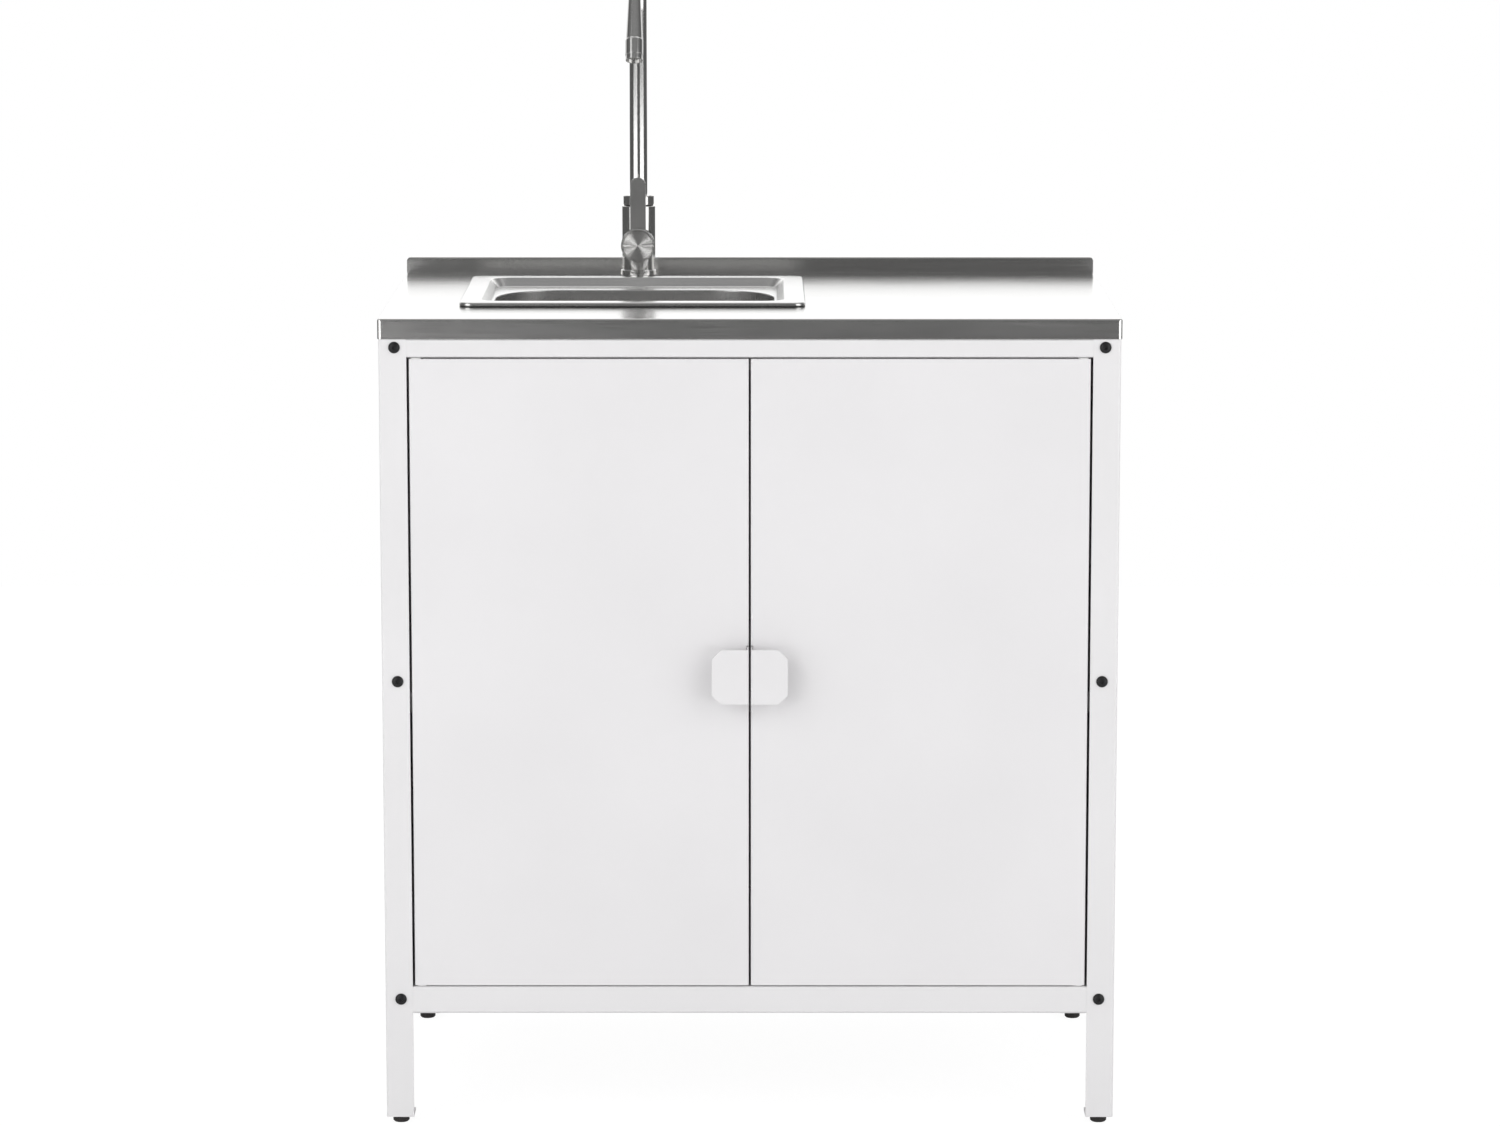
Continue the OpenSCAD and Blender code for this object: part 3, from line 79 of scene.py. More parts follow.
class Graph:
    # any node tree: each node comes from its type, its settings and the values of its sockets
    def node(self, kind, settings=None, values=None, out=0):
        made = self.tree.nodes.new(kind)
        for key, value in (settings or {}).items():
            setattr(made, key, value)
        for key, value in (values or {}).items():
            if isinstance(value, Wire):
                self.tree.links.new(value.socket, made.inputs[key])
            else:
                made.inputs[key].default_value = value
        return Wire(self.tree, made.outputs[out])


class Finish(Graph):
    # the node tree of one material, or of the world
    def __init__(self, name, world=False):
        self.material = bpy.data.worlds.new(name) if world else bpy.data.materials.new(name)
        self.material.use_nodes = True
        self.tree = self.material.node_tree
        self.tree.nodes.clear()

    def place(self, stretch=(1, 1, 1), shift=(0, 0, 0)):
        spot = self.node("ShaderNodeTexCoord", out="Object")
        return self.node("ShaderNodeMapping", values={"Vector": spot, "Scale": stretch, "Location": shift})

    def noise(self, scale, detail=2.0, stretch=(1, 1, 1), shift=(0, 0, 0)):
        return self.node("ShaderNodeTexNoise", values={
            "Vector": self.place(stretch, shift), "Scale": scale, "Detail": detail})

    def between(self, factor, low, high):
        return self.node("ShaderNodeMix", {"data_type": "RGBA"}, {
            0: factor, 6: (*low, 1.0), 7: (*high, 1.0)}, out=2)

    def range(self, wire, low, high, toLow, toHigh, blend="LINEAR"):
        return self.node("ShaderNodeMapRange", {"interpolation_type": blend}, {
            0: wire, 1: low, 2: high, 3: toLow, 4: toHigh})

    def bumped(self, height, depth, strength, edge):
        # fine relief over edges that are rounded by the bevel
        soft = self.node("ShaderNodeBevel", {"samples": 4}, {"Radius": edge})
        return self.node("ShaderNodeBump", values={
            "Height": height, "Distance": depth, "Strength": strength, "Normal": soft})

    def done(self, colour, rough, normal, metal=0.0):
        self.end(self.node("ShaderNodeBsdfPrincipled", values={
            "Base Color": colour, "Roughness": rough, "Metallic": metal, "Normal": normal}))

    def end(self, shader):
        world = isinstance(self.material, bpy.types.World)
        output = self.tree.nodes.new("ShaderNodeOutputWorld" if world else "ShaderNodeOutputMaterial")
        self.tree.links.new(shader.socket, output.inputs["Surface"])


class Plan(Graph):
    # a geometry tree with named inputs; it ends in Realize Instances and Set Material
    def __init__(self, name, **inputs):
        self.tree = bpy.data.node_groups.new(name, "GeometryNodeTree")
        self.sockets = {}
        face = self.tree.interface
        face.new_socket("Geometry", in_out="INPUT", socket_type="NodeSocketGeometry")
        inputs["material"] = "Material"
        for title, kind in inputs.items():
            socket = face.new_socket(title, in_out="INPUT", socket_type="NodeSocket" + kind)
            self.sockets[title] = socket.identifier
        face.new_socket("Geometry", in_out="OUTPUT", socket_type="NodeSocketGeometry")
        self.start = self.tree.nodes.new("NodeGroupInput")

    def given(self, title):
        return Wire(self.tree, self.start.outputs[title])

    def close(self, geometry):
        whole = self.node("GeometryNodeRealizeInstances", values={"Geometry": geometry})
        coated = self.node("GeometryNodeSetMaterial", values={
            "Geometry": whole, "Material": self.given("material")})
        end = self.tree.nodes.new("NodeGroupOutput")
        self.tree.links.new(coated.socket, end.inputs[0])

    def run(self, host, **values):
        # runs the tree on an object and leaves its result as a plain mesh
        modifier = host.modifiers.new("plan", "NODES")
        modifier.node_group = self.tree
        for title, value in values.items():
            modifier[self.sockets[title]] = value
        bpy.context.view_layer.update()
        bakeModifiers(host)


def bakeModifiers(piece):
    ready = piece.evaluated_get(bpy.context.evaluated_depsgraph_get())
    made = bpy.data.meshes.new_from_object(ready)
    piece.modifiers.clear()
    piece.data = made


def newPiece(name, points, edges=(), faces=()):
    mesh = bpy.data.meshes.new(name)
    mesh.from_pydata(points, edges, faces)
    piece = bpy.data.objects.new(name, mesh)
    bpy.context.scene.collection.objects.link(piece)
    return piece


def evened(piece, angle=None):
    # merges doubles, turns the faces outwards, and keeps edges sharper than an angle crisp
    shape = bmesh.new()
    shape.from_mesh(piece.data)
    bmesh.ops.remove_doubles(shape, verts=shape.verts, dist=0.000002)
    bmesh.ops.recalc_face_normals(shape, faces=shape.faces)
    shape.to_mesh(piece.data)
    shape.free()
    for polygon in piece.data.polygons:
        polygon.use_smooth = True
    if angle:
        piece.data.set_sharp_from_angle(angle=math.radians(angle))


def loft(name, rings, closed=False):
    # joins rings of the same number of points with quads, and closes both ends if asked
    count = len(rings[0])
    points = [p for ring in rings for p in ring]
    faces = []
    for j in range(len(rings) - 1):
        for k in range(count):
            faces.append((j * count + k, j * count + (k + 1) % count,
                          (j + 1) * count + (k + 1) % count, (j + 1) * count + k))
    if closed:
        faces.append(tuple(range(count))[::-1])
        faces.append(tuple((len(rings) - 1) * count + k for k in range(count)))
    return newPiece(name, points, (), faces)


def softCorner(start, corner, stop, radius, steps=5):
    # points of a profile where a sharp corner is rounded; each point is (how far in, height)
    a = (Vector(start) - Vector(corner)).normalized()
    b = (Vector(stop) - Vector(corner)).normalized()
    half = a.angle(b) / 2
    back = radius / math.tan(half)
    centre = Vector(corner) + (a + b).normalized() * radius / math.sin(half)
    first = Vector(corner) + a * back - centre
    last = Vector(corner) + b * back - centre
    return [tuple(centre + first.lerp(last, i / steps).normalized() * radius) for i in range(steps + 1)]


def roundRing(radius, z, count):
    turns = [2 * math.pi * k / count for k in range(count)]
    return [(radius * math.cos(turn), radius * math.sin(turn), z) for turn in turns]


coat = {"shade": (0.80, 0.792, 0.80), "doorLitShade": (0.805, 0.795, 0.805), "dim": 0.975, "drift": 5.0,
        "rough": 0.36, "haze": 34.0, "peel": 620.0, "peelDepth": 0.000018, "edge": 0.0007}


def paintedSteel(name, shade):
    # powder coat: fine orange peel, a little unevenness in gloss, softened edges
    finish = Finish(name)
    peel = finish.noise(coat["peel"], 3.0)
    drift = finish.noise(coat["drift"], 2.0)
    haze = finish.noise(coat["haze"], 4.0, shift=(3, 1, 2))
    low = tuple(c * coat["dim"] for c in shade)
    finish.done(
        colour=finish.between(finish.range(drift, 0.35, 0.65, 0.0, 1.0), low, shade),
        rough=finish.range(haze, 0.3, 0.7, coat["rough"] - 0.05, coat["rough"] + 0.06),
        normal=finish.bumped(peel, coat["peelDepth"], 0.6, coat["edge"]))
    return finish.material


steel = {"shade": (0.74, 0.735, 0.725), "dim": 0.94, "rough": 0.2, "grain": 900.0, "bandShare": 0.17,
         "cloud": 9.0, "grainDepth": 0.000006, "edge": 0.0006}


def brushedSteel(name, along=(0.02, 1, 1), shade=steel["shade"], rough=steel["rough"],
                 depth=steel["grainDepth"]):
    # fine hairlines run along one direction, where the stretch is small
    finish = Finish(name)
    hairs = finish.noise(steel["grain"], 2.0, along)
    bands = finish.noise(steel["grain"] * steel["bandShare"], 3.0, along, (2, 5, 1))
    cloud = finish.noise(steel["cloud"], 3.0)
    both = hairs * 0.6 + bands * 0.4
    dark = tuple(c * steel["dim"] for c in shade)
    finish.done(
        colour=finish.between(finish.range(both, 0.35, 0.65, 0.0, 1.0), dark, shade), metal=1.0,
        rough=finish.range(both + cloud * 0.5, 0.55, 0.95, rough - 0.02, rough + 0.03),
        normal=finish.bumped(both, depth, 0.5, steel["edge"]))
    return finish.material


solid = {"grain": 700.0, "depth": 0.00001, "drift": 0.12, "patches": 40.0, "edge": 0.0004}


def plainSolid(name, shade, rough, metal=0.0, grain=solid["grain"], depth=solid["depth"],
               drift=solid["drift"]):
    # plastic, rubber and plain metal: a fine even grain and a slight change of shade
    finish = Finish(name)
    fine = finish.noise(grain, 3.0)
    slow = finish.noise(solid["patches"], 3.0, shift=(1, 2, 3))
    dark = tuple(c * (1 - drift) for c in shade)
    finish.done(
        colour=finish.between(finish.range(slow, 0.3, 0.7, 0.0, 1.0), dark, shade), metal=metal,
        rough=finish.range(fine + slow, 0.7, 1.3, rough - 0.05, rough + 0.07),
        normal=finish.bumped(fine, depth, 0.7, solid["edge"]))
    return finish.material


plate = {"shade": (0.62, 0.63, 0.64), "dim": 0.86, "crystals": 140.0, "grain": 500.0, "depth": 0.00001,
         "roughLow": 0.26, "roughHigh": 0.42, "edge": 0.0004}


def platedZinc(name):
    # bright zinc with faint crystals
    finish = Finish(name)
    cells = finish.node("ShaderNodeTexVoronoi", out="Color", values={
        "Vector": finish.place(), "Scale": plate["crystals"]})
    grey = finish.node("ShaderNodeSeparateColor", values={"Color": cells})
    fine = finish.noise(plate["grain"], 2.0)
    dark = tuple(c * plate["dim"] for c in plate["shade"])
    finish.done(
        colour=finish.between(grey, dark, plate["shade"]), metal=1.0,
        rough=finish.range(grey * 0.5 + fine * 0.5, 0.2, 0.8, plate["roughLow"], plate["roughHigh"]),
        normal=finish.bumped(fine, plate["depth"], 0.5, plate["edge"]))
    return finish.material


white = paintedSteel("whiteCoat", coat["shade"])
# the doors and handles get a slightly lighter copy of the same white coat, so they read brighter than the
# frame: painted light
whiteDoorLit = paintedSteel("whiteDoorLitCoat", coat["doorLitShade"])
topSteel = brushedSteel("worktopSteel")
sinkSteel = brushedSteel("sinkSteel", shade=(0.76, 0.757, 0.75), rough=0.24, depth=0.000004)
tapSteel = brushedSteel("tapSteel", along=(1, 1, 0.02), rough=0.14, depth=0.000003)
bladeSteel = brushedSteel("bladeSteel", along=(1, 1, 0.02), rough=0.24)
capSteel = brushedSteel("capSteel", along=(1, 0.02, 1), rough=0.13, depth=0.000002)
black = plainSolid("blackBolts", (0.018, 0.018, 0.019), 0.42, metal=0.4)
blackPlastic = plainSolid("blackPlastic", (0.021, 0.017, 0.016), 0.5)
rubber = plainSolid("rubber", (0.025, 0.025, 0.026), 0.62, grain=420.0, depth=0.00002)
whitePlastic = plainSolid("whitePlastic", (0.78, 0.78, 0.77), 0.42, drift=0.04)
brass = plainSolid("brass", (0.63, 0.45, 0.2), 0.3, metal=1.0, drift=0.1)
zinc = platedZinc("zincPlate")
print("finishes made")

dressed = set()


def dress(material, *names):
    for name in names:
        dressed.add(name)
        for slot in nodes[name].material_slots:
            slot.material = material


dress(white, "front_left_leg", "front_right_leg", "rear_left_leg", "rear_right_leg", "base_tray", "mid_shelf",
      "left_side_panel", "right_side_panel", "back_panel", "front_top_rail", "rear_top_rail",
      "left_stiffener", "right_stiffener")
dress(whiteDoorLit, "left_door_panel", "right_door_panel", "left_handle", "right_handle")
dress(topSteel, "worktop")
dress(sinkSteel, "sink", "sink_bowl", "waste_flange", "strainer_basket", "strainer_knob")
dress(tapSteel, "spout_tube", "swivel_collar", "outlet_collar", "aerator", "tap_body", "tap_base_ring",
      "mixer_ball", "rocker_pin", "lever_stem")
dress(bladeSteel, "lever_blade")
dress(capSteel, "lever_cap")
dress(black, "frame_bolts")
dress(blackPlastic, "glide_feet", "tap_cartridge", "swivel_washer", "spout_seals")
dress(rubber, "sink_seal", "tap_gasket")
dress(whitePlastic, "left_hinge_bushes", "right_hinge_bushes", "shelf_pegs", "waste_body", "waste_nut",
      "trap_bottle", "trap_cup", "trap_nuts", "outlet_pipe", "magnet_catch")
dress(brass, "tap_nut")
dress(zinc, "frame_nuts", "hinge_pins", "worktop_ribs", "worktop_screws", "sink_clips", "catch_magnets",
      "left_strike", "right_strike")
print("parts without a finish:", sorted(set(nodes) - dressed))

# smooth gooseneck: a riser, a bend that narrows, and a tip that widens to the outlet
neck = {"foot": (-0.129, 0.22235), "riserTop": 1.195, "bend": 0.085, "sweep": 155, "reach": 0.064,
        "riser": 0.01, "narrow": 0.0065, "mouth": 0.0093, "sides": 72, "bendSteps": 64, "endSteps": 12,
        "crisp": 40}


def neckPath():
    # middle points of the tube, each with the tube's radius there
    x, y = neck["foot"]
    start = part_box("spout_tube")[0][2]
    rise, ends = neck["riserTop"] - start, neck["endSteps"]
    path = [((x, y, start + rise * i / ends), neck["riser"]) for i in range(ends)]
    for i in range(neck["bendSteps"] + 1):
        share = i / neck["bendSteps"]
        turn = math.radians(neck["sweep"]) * share
        ease = share * share * (3 - 2 * share)
        middle = (x, y - neck["bend"] * (1 - math.cos(turn)),
                  neck["riserTop"] + neck["bend"] * math.sin(turn))
        path.append((middle, neck["riser"] + (neck["narrow"] - neck["riser"]) * ease))
    last = Vector(path[-1][0])
    ahead = Vector((0, -math.sin(turn), math.cos(turn)))
    for i in range(1, ends + 1):
        share = i / ends
        path.append((tuple(last + ahead * neck["reach"] * share),
                     neck["narrow"] + (neck["mouth"] - neck["narrow"]) * share))
    return path


def makeGooseneck():
    path = neckPath()
    host = newPiece("gooseneck", [p for p, r in path], [(i, i + 1) for i in range(len(path) - 1)])
    widths = host.data.attributes.new("halfWidth", "FLOAT", "POINT")
    widths.data.foreach_set("value", [r for p, r in path])
    plan = Plan("tubeAlongPath", sides="Int")
    line = plan.node("GeometryNodeMeshToCurve", values={"Mesh": plan.given("Geometry")})
    hoop = plan.node("GeometryNodeCurvePrimitiveCircle", values={
        "Resolution": plan.given("sides"), "Radius": 1.0})
    width = plan.node("GeometryNodeInputNamedAttribute", {"data_type": "FLOAT"}, {"Name": "halfWidth"})
    tube = plan.node("GeometryNodeCurveToMesh", values={
        "Curve": line, "Profile Curve": hoop, "Scale": width, "Fill Caps": True})
    plan.close(tube)
    plan.run(host, sides=neck["sides"], material=tapSteel)
    evened(host, neck["crisp"])
    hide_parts("spout_tube")
    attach(host, "spout")


makeGooseneck()
print("gooseneck made")

# lever cap: turned from bar, with fine rings cut in its face and a round seat for the ball behind
cap = {"ball": (-0.129, 0.19735, 0.928), "front": 0.021, "back": 0.003, "radius": 0.0195, "chamfer": 0.0012,
       "softFront": 0.0004, "softSide": 0.0006, "rimCut": 0.0004, "centre": 0.0002, "hollow": 0.0174,
       "pocket": 0.0058, "pocketFloor": 0.0184, "seatSteps": 12, "ringPitch": 0.0004, "ringDepth": 0.0001,
       "ringStart": 0.0005, "ringEnd": 0.0169, "borderOut": 0.0181, "borderDepth": 0.0012,
       "borderWall": 0.0001, "sides": 96, "crisp": 50}


def capProfile():
    # each point is its radius and its distance in front of the ball's centre
    front, back, radius = cap["front"], cap["back"], cap["radius"]
    profile = [(cap["centre"], front)]
    step = cap["ringPitch"] / 4
    for k in range(int((cap["ringEnd"] - cap["ringStart"]) / step)):
        dip = (0.0, 0.5, 1.0, 0.5)[k % 4] * cap["ringDepth"]
        profile.append((cap["ringStart"] + k * step, front - dip))
    # a narrow turned border round the face
    wall, floor = cap["borderWall"], front - cap["borderDepth"]
    profile += [(cap["ringEnd"] + wall, front), (cap["ringEnd"] + 2 * wall, floor),
                (cap["borderOut"] - wall, floor), (cap["borderOut"], front)]
    shoulder, heel = (radius - cap["chamfer"], front), (radius, front - cap["chamfer"])
    profile += softCorner((cap["centre"], front), shoulder, heel, cap["softFront"])
    profile += softCorner(shoulder, heel, (radius, back), cap["softSide"])
    profile += [(radius, back + cap["rimCut"]), (radius - cap["rimCut"], back)]
    # the round seat of the ball, and the pocket behind it
    mouth = math.asin(back / cap["hollow"])
    deep = math.acos(cap["pocket"] / cap["hollow"])
    for i in range(cap["seatSteps"] + 1):
        turn = mouth + (deep - mouth) * i / cap["seatSteps"]
        profile.append((cap["hollow"] * math.cos(turn), cap["hollow"] * math.sin(turn)))
    return profile + [(cap["pocket"], cap["pocketFloor"]), (cap["centre"], cap["pocketFloor"])]


def makeCap():
    x, y, z = cap["ball"]
    rings = [[(x + across, y - out, z + up) for across, up, flat in roundRing(radius, 0.0, cap["sides"])]
             for radius, out in capProfile()]
    turned = loft("leverCap", rings, closed=True)
    evened(turned, cap["crisp"])
    turned.data.materials.append(capSteel)
    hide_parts("lever_cap")
    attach(turned, "mixer_lever")


makeCap()
print("lever cap made")

# frame bolts: domed heads with a hexagon socket, one bolt repeated by a geometry tree
bolt = {"head": 0.00625, "height": 0.0033, "rim": 0.001, "rimEdge": 0.00075, "foot": 0.0002, "socket": 0.0023,
        "deep": 0.002, "drill": 0.0004, "soft": 0.0003, "lip": 0.0005, "flare": 0.0002, "shank": 0.003,
        "length": 0.011, "point": 0.0006, "domeShares": (0.48, 0.58, 0.68, 0.78, 0.87, 0.94, 0.98),
        "across": 0.382, "rows": (0.141, 0.4945, 0.859), "front": -0.23965, "back": 0.25835,
        "sides": 48, "crisp": 35}


def hexRing(size, z, count):
    side = count // 6
    ring = []
    for k in range(count):
        corner, share = divmod(k, side)
        a, b = (math.radians(60 * c) for c in (corner, corner + 1))
        share /= side
        ring.append((size * (math.cos(a) * (1 - share) + math.cos(b) * share),
                     size * (math.sin(a) * (1 - share) + math.sin(b) * share), z))
    return ring


def domeHeight(radius):
    # height of the domed head at a distance from its middle
    dome = bolt["height"] - bolt["rim"]
    ball = (bolt["head"] ** 2 + dome ** 2) / (2 * dome)
    return bolt["rim"] + math.sqrt(ball ** 2 - radius ** 2) - (ball - dome)


def makeBoltShape():
    socket, head, shank, foot = bolt["socket"], bolt["head"], bolt["shank"], bolt["foot"]
    floor, flared = bolt["height"] - bolt["deep"], bolt["socket"] + bolt["flare"]
    hexagons = [(bolt["drill"], floor - bolt["soft"]), (socket - bolt["soft"], floor),
                (socket, floor + bolt["soft"]), (socket, bolt["height"] - bolt["lip"]),
                (flared, domeHeight(flared))]
    rounds = [(head * share, domeHeight(head * share)) for share in bolt["domeShares"]]
    rounds += [(head, bolt["rimEdge"]), (head, foot), (head - foot, 0.0), (shank, 0.0),
               (shank, bolt["point"] - bolt["length"]), (shank - bolt["point"], -bolt["length"])]
    rings = [hexRing(size, z, bolt["sides"]) for size, z in hexagons]
    rings += [roundRing(radius, z, bolt["sides"]) for radius, z in rounds]
    single = loft("boltShape", rings, closed=True)
    evened(single, bolt["crisp"])
    return single


def makeBolts():
    single = makeBoltShape()
    places = []
    ways = []
    for x in (-bolt["across"], bolt["across"]):
        for z in bolt["rows"]:
            places += [(x, bolt["front"], z), (x, bolt["back"], z)]
            ways += [(0, -1, 0), (0, 1, 0)]
    host = newPiece("frameBolts", places)
    facing = host.data.attributes.new("facing", "FLOAT_VECTOR", "POINT")
    facing.data.foreach_set("vector", [c for way in ways for c in way])
    plan = Plan("boltsOnPoints", bolt="Object", turn="Float")
    shape = plan.node("GeometryNodeObjectInfo", values={"Object": plan.given("bolt")}, out="Geometry")
    way = plan.node("GeometryNodeInputNamedAttribute", {"data_type": "FLOAT_VECTOR"}, {"Name": "facing"})
    face = plan.node("FunctionNodeAlignRotationToVector", {"axis": "Z"}, {"Vector": way})
    spin = plan.node("FunctionNodeRandomValue", {"data_type": "FLOAT"}, {
        2: 0.0, 3: plan.given("turn"), "Seed": 7}, out=1)
    spun = plan.node("FunctionNodeAxisAngleToRotation", values={"Axis": (0, 0, 1), "Angle": spin})
    both = plan.node("FunctionNodeRotateRotation", {"rotation_space": "LOCAL"}, {0: face, 1: spun})
    many = plan.node("GeometryNodeInstanceOnPoints", values={
        "Points": plan.given("Geometry"), "Instance": shape, "Rotation": both})
    plan.close(many)
    plan.run(host, bolt=single, turn=1.0, material=black)
    host.data.set_sharp_from_angle(angle=math.radians(bolt["crisp"]))
    bpy.data.objects.remove(single)
    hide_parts("frame_bolts")
    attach(host, "cabinet")


makeBolts()
print("bolts made")

# pressed sink: every ring is a rounded rectangle with the same number of points
sink = {"middle": (-0.129, 0.01935), "width": 0.38, "depth": 0.29, "corner": 0.014, "rim": 0.895,
        "rimLow": 0.8912, "round": 0.0025, "roundSteps": 8, "side": 0.023, "end": 0.02, "innerCorner": 0.024,
        "flat": 0.01, "slope": 0.008, "step": 0.885, "softTop": 0.0018, "softStep": 0.0022, "sheet": 0.001,
        "lipSteps": 5, "bowlMiddle": (-0.129, 0.00335), "bowlWidth": 0.312, "bowlDepth": 0.196,
        "bowlCorner": 0.075, "wallSteps": 7, "fillet": 0.022, "filletSteps": 10, "floor": 0.755,
        "floorShares": (0.3, 0.6, 0.85, 1.0), "waste": 0.031, "wastePad": 14, "flange": 0.003, "arc": 20,
        "straight": 15, "smallest": 0.0008, "deckCrisp": 60, "bowlCrisp": 50}


def roundedRing(middle, halfX, halfY, radius, z, grow=0.0):
    halfX, halfY, radius = halfX + grow, halfY + grow, max(radius + grow, sink["smallest"])
    arc, between = sink["arc"], sink["straight"]
    ends = []
    for k, (sx, sy) in enumerate(((1, 1), (-1, 1), (-1, -1), (1, -1))):
        cx, cy = middle[0] + sx * (halfX - radius), middle[1] + sy * (halfY - radius)
        turns = [math.radians(90 * k + 90 * i / arc) for i in range(arc + 1)]
        ends.append([(cx + radius * math.cos(turn), cy + radius * math.sin(turn), z) for turn in turns])
    ring = []
    for k in range(4):
        ring += ends[k]
        a, b = ends[k][-1], ends[(k + 1) % 4][0]
        for i in range(1, between + 1):
            t = i / (between + 1)
            ring.append((a[0] + (b[0] - a[0]) * t, a[1] + (b[1] - a[1]) * t, z))
    return ring


def rimRing(z, grow=0.0):
    return roundedRing(sink["middle"], sink["width"] / 2, sink["depth"] / 2, sink["corner"], z, grow)


def innerRing(z, grow=0.0):
    halfX, halfY = sink["width"] / 2 - sink["side"], sink["depth"] / 2 - sink["end"]
    return roundedRing(sink["middle"], halfX, halfY, sink["innerCorner"], z, grow)


def bowlRing(z, grow=0.0):
    halfX, halfY = sink["bowlWidth"] / 2, sink["bowlDepth"] / 2
    return roundedRing(sink["bowlMiddle"], halfX, halfY, sink["bowlCorner"], z, grow)


def wasteRing():
    # a circle whose points follow the corners and sides of the other rings
    x, y = sink["bowlMiddle"]
    radius, arc, between, pad = sink["waste"], sink["arc"], sink["straight"], sink["wastePad"]
    ring = []
    for k in range(4):
        angles = [90 * k + pad + (90 - 2 * pad) * i / arc for i in range(arc + 1)]
        angles += [90 * (k + 1) - pad + 2 * pad * i / (between + 1) for i in range(1, between + 1)]
        turns = [math.radians(angle) for angle in angles]
        ring += [(x + radius * math.cos(turn), y + radius * math.sin(turn), sink["floor"]) for turn in turns]
    return ring


def thicken(piece, depth):
    shell = piece.modifiers.new("sheet", "SOLIDIFY")
    shell.thickness = depth
    shell.offset = -1.0
    shell.use_even_offset = True
    bakeModifiers(piece)


def makeDeck():
    r, t = sink["round"], sink["sheet"]
    # from the rim's lower edge over its rounded top, down the slope and over the edge of the bowl
    rings = [rimRing(sink["rimLow"])]
    for i in range(sink["roundSteps"] + 1):
        a = math.radians(90 * i / sink["roundSteps"])
        rings.append(rimRing(sink["rim"] - r + r * math.sin(a), -r * (1 - math.cos(a))))
    top, foot = (0, sink["rim"]), (sink["slope"], sink["step"])
    profile = softCorner((-sink["flat"], sink["rim"]), top, foot, sink["softTop"])
    profile += softCorner(top, foot, (sink["slope"] + sink["flat"], sink["step"]), sink["softStep"])
    rings += [innerRing(z, -inset) for inset, z in profile]
    for i in range(sink["lipSteps"] + 1):
        a = math.radians(90 * i / sink["lipSteps"])
        rings.append(bowlRing(sink["step"] - t * (1 - math.cos(a)), t * (1 - math.sin(a))))
    deck = loft("sinkDeck", rings)
    evened(deck)
    if deck.data.polygons[len(deck.data.polygons) // 3].normal.z < 0:
        deck.data.flip_normals()
    thicken(deck, t)
    deck.data.materials.append(sinkSteel)
    deck.data.set_sharp_from_angle(angle=math.radians(sink["deckCrisp"]))
    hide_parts("sink")
    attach(deck, "cabinet")


def makeBowl():
    f, t = sink["fillet"], sink["sheet"]
    # from the flange under the deck, down the wall and round the fillet to the waste
    top = sink["step"] - t
    rings = [bowlRing(top, sink["flange"] + t), bowlRing(top)]
    for i in range(1, sink["wallSteps"]):
        rings.append(bowlRing(top + (sink["floor"] + f - top) * i / sink["wallSteps"]))
    for i in range(sink["filletSteps"] + 1):
        a = math.radians(90 * i / sink["filletSteps"])
        rings.append(bowlRing(sink["floor"] + f - f * math.sin(a), -f * (1 - math.cos(a))))
    rim = rings[-1]
    for share in sink["floorShares"]:
        rings.append([tuple(Vector(p).lerp(Vector(q), share)) for p, q in zip(rim, wasteRing())])
    bowl = loft("sinkBowl", rings)
    evened(bowl)
    low = min(bowl.data.polygons, key=lambda p: p.center.z)
    if low.normal.z < 0:
        bowl.data.flip_normals()
    thicken(bowl, t)
    bowl.data.materials.append(sinkSteel)
    bowl.data.set_sharp_from_angle(angle=math.radians(sink["bowlCrisp"]))
    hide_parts("sink_bowl")
    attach(bowl, "cabinet")


makeDeck()
makeBowl()
print("sink made")

# ambient lights plain surfaces; metal sees a grey front, lighter overhead and white low down behind
studio = {"ambient": 0.54, "front": 0.11, "high": 0.2, "highFrom": 0.3, "highTo": 0.9, "behindFrom": 0.4,
          "behindTo": 0.85, "horizonFrom": -0.06, "horizonTo": 0.03, "aim": (0, 0, 0.85),
          "floorLow": (-5, -4.2), "floorHigh": (5, 3.4), "floorPaint": 0.8, "floorGlow": 0.93,
          "floorShade": 0.14}


def makeFloor():
    (x, y), (farX, farY) = studio["floorLow"], studio["floorHigh"]
    mesh = bpy.data.meshes.new("floor")
    mesh.from_pydata([(x, y, 0), (farX, y, 0), (farX, farY, 0), (x, farY, 0)], [], [(0, 1, 2, 3)])
    floor = bpy.data.objects.new("floor", mesh)
    bpy.context.scene.collection.objects.link(floor)
    finish = Finish("floorPaint")
    camera = finish.node("ShaderNodeLightPath", out="Is Camera Ray")
    rough = finish.node("ShaderNodeBsdfDiffuse", values={"Color": (studio["floorPaint"],) * 3 + (1,)})
    faint = finish.node("ShaderNodeBsdfDiffuse", values={"Color": (studio["floorShade"],) * 3 + (1,)})
    glow = finish.node("ShaderNodeEmission", values={"Color": (1, 1, 1, 1), "Strength": studio["floorGlow"]})
    seen = finish.node("ShaderNodeAddShader", values={0: faint, 1: glow})
    finish.end(finish.node("ShaderNodeMixShader", values={0: camera, 1: rough, 2: seen}))
    mesh.materials.append(finish.material)


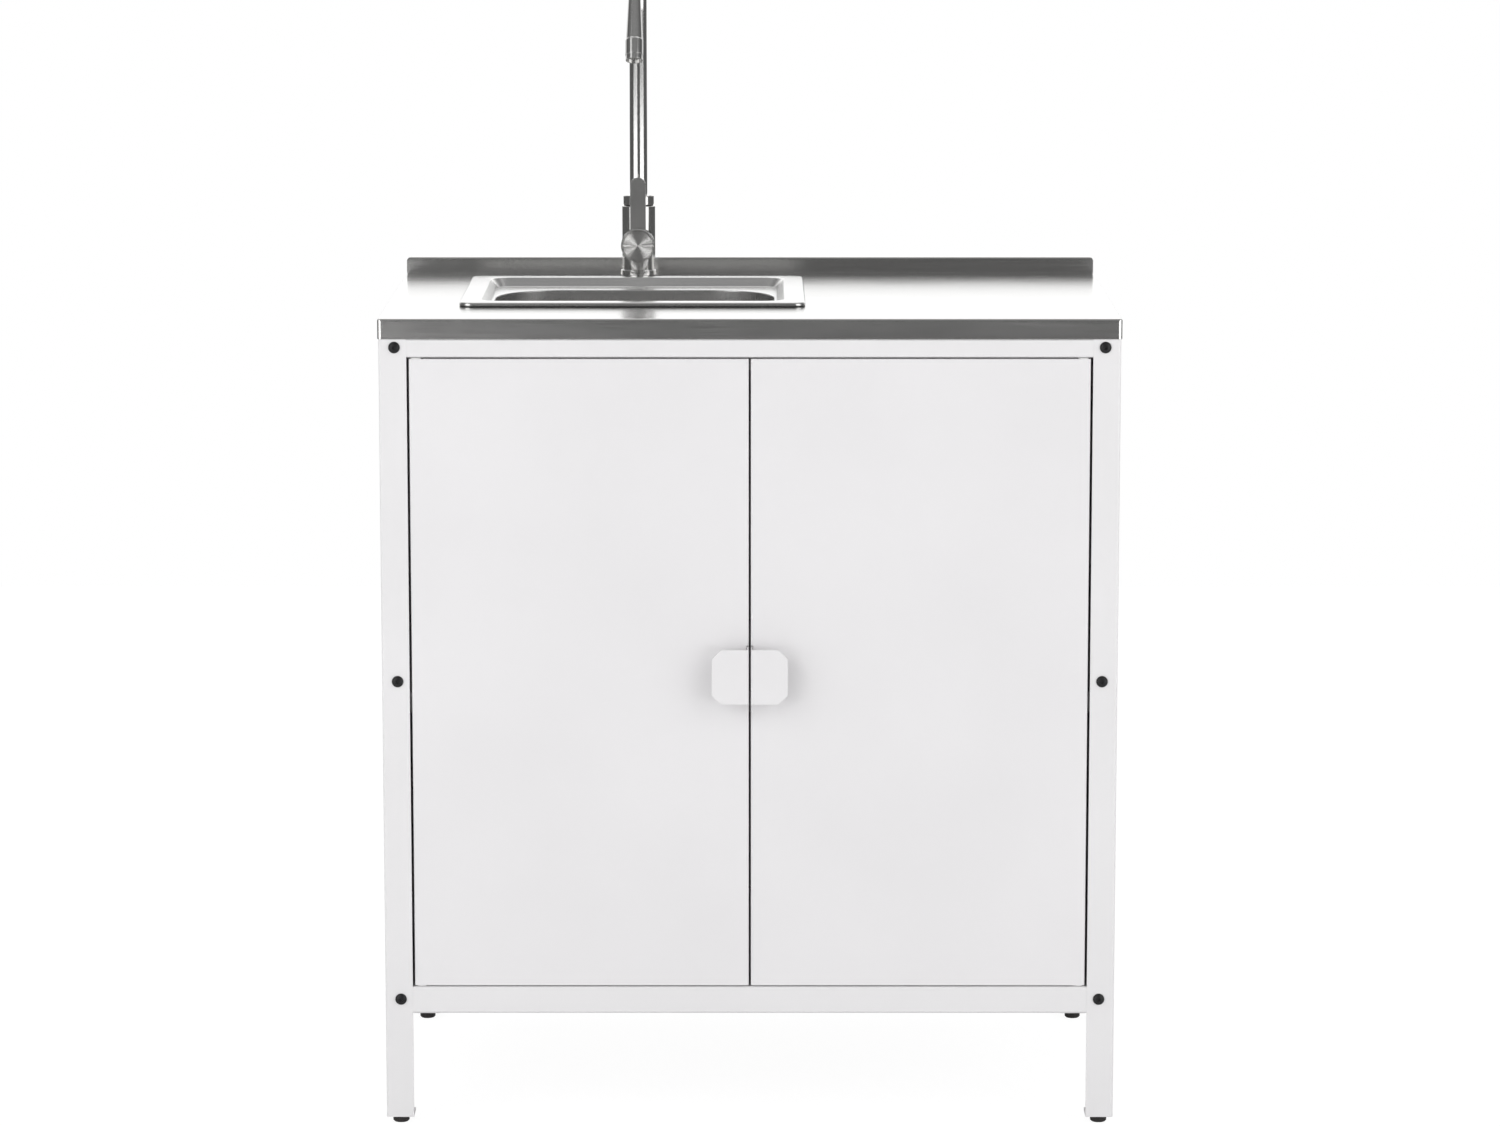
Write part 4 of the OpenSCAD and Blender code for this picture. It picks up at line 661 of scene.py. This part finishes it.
def makeWorld():
    sky = Finish("studioWorld", world=True)
    spot = sky.node("ShaderNodeTexCoord", out="Generated")
    parts = sky.node("ShaderNodeSeparateXYZ", values={0: spot}, out="X")
    behind = sky.range(parts.other("Y"), studio["behindFrom"], studio["behindTo"], 0.0, 1.0, "SMOOTHSTEP")
    lifted = sky.range(parts.other("Z"), studio["horizonFrom"], studio["horizonTo"], 0.0, 1.0, "SMOOTHSTEP")
    above = sky.range(parts.other("Z"), studio["highFrom"], studio["highTo"],
                      studio["front"], studio["front"] + studio["high"])
    shade = above + behind * lifted * (1.0 - above)
    path = sky.node("ShaderNodeLightPath", out="Is Camera Ray")
    glossy = path.other("Is Glossy Ray").math("MAXIMUM", path.other("Is Transmission Ray"))
    strength = path + glossy * shade
    strength = strength + (1.0 - path.math("MAXIMUM", glossy)) * studio["ambient"]
    sky.end(sky.node("ShaderNodeBackground", values={"Color": (1, 1, 1, 1), "Strength": strength}))
    bpy.context.scene.world = sky.material


def softbox(name, place, size, power):
    data = bpy.data.lights.new(name, "AREA")
    data.shape = "RECTANGLE"
    data.size, data.size_y = size
    data.energy = power
    lamp = bpy.data.objects.new(name, data)
    lamp.location = place
    lamp.rotation_euler = (Vector(studio["aim"]) - Vector(place)).to_track_quat("-Z", "Y").to_euler()
    bpy.context.scene.collection.objects.link(lamp)


# name, place, width and height, power; the two wide ones make the light bands on the tap
softboxes = (("leftWide", (-2.03, -2.48, 1.85), (2.3, 1.55), 20.5),
             ("rightWide", (2.47, -1.81, 1.75), (2.3, 1.4), 16.5),
             ("leftLow", (-2.3, -2.5, 0.42), (3.4, 0.8), 17.5),
             ("rightLow", (2.5, -2.1, 0.42), (3.4, 0.8), 17.5),
             ("leftHigh", (-2.1, -1.9, 2.65), (1.3, 1.3), 7.0),
             ("rightHigh", (2.1, -1.9, 2.5), (1.3, 1.3), 5.0),
             ("overhead", (0.0, 0.9, 3.1), (2.6, 1.3), 6.0),
             ("rear", (0.0, 3.4, 1.7), (3.6, 1.8), 7.0))

view = {"place": (0.0031, -5.7373, 1.5020), "down": 9.066, "turn": 0.03, "lens": 123.64, "sensor": 36.0}


def makeCamera():
    camera = bpy.data.cameras.new("camera")
    camera.lens = view["lens"]
    camera.sensor_width = view["sensor"]
    eye = bpy.data.objects.new("camera", camera)
    eye.location = view["place"]
    eye.rotation_euler = (math.radians(90 - view["down"]), 0, math.radians(view["turn"]))
    bpy.context.scene.collection.objects.link(eye)
    bpy.context.scene.camera = eye


makeFloor()
makeWorld()
for name, place, size, power in softboxes:
    softbox(name + "Softbox", place, size, power)
makeCamera()
bpy.context.scene.view_settings.view_transform = "Standard"
print("studio made")
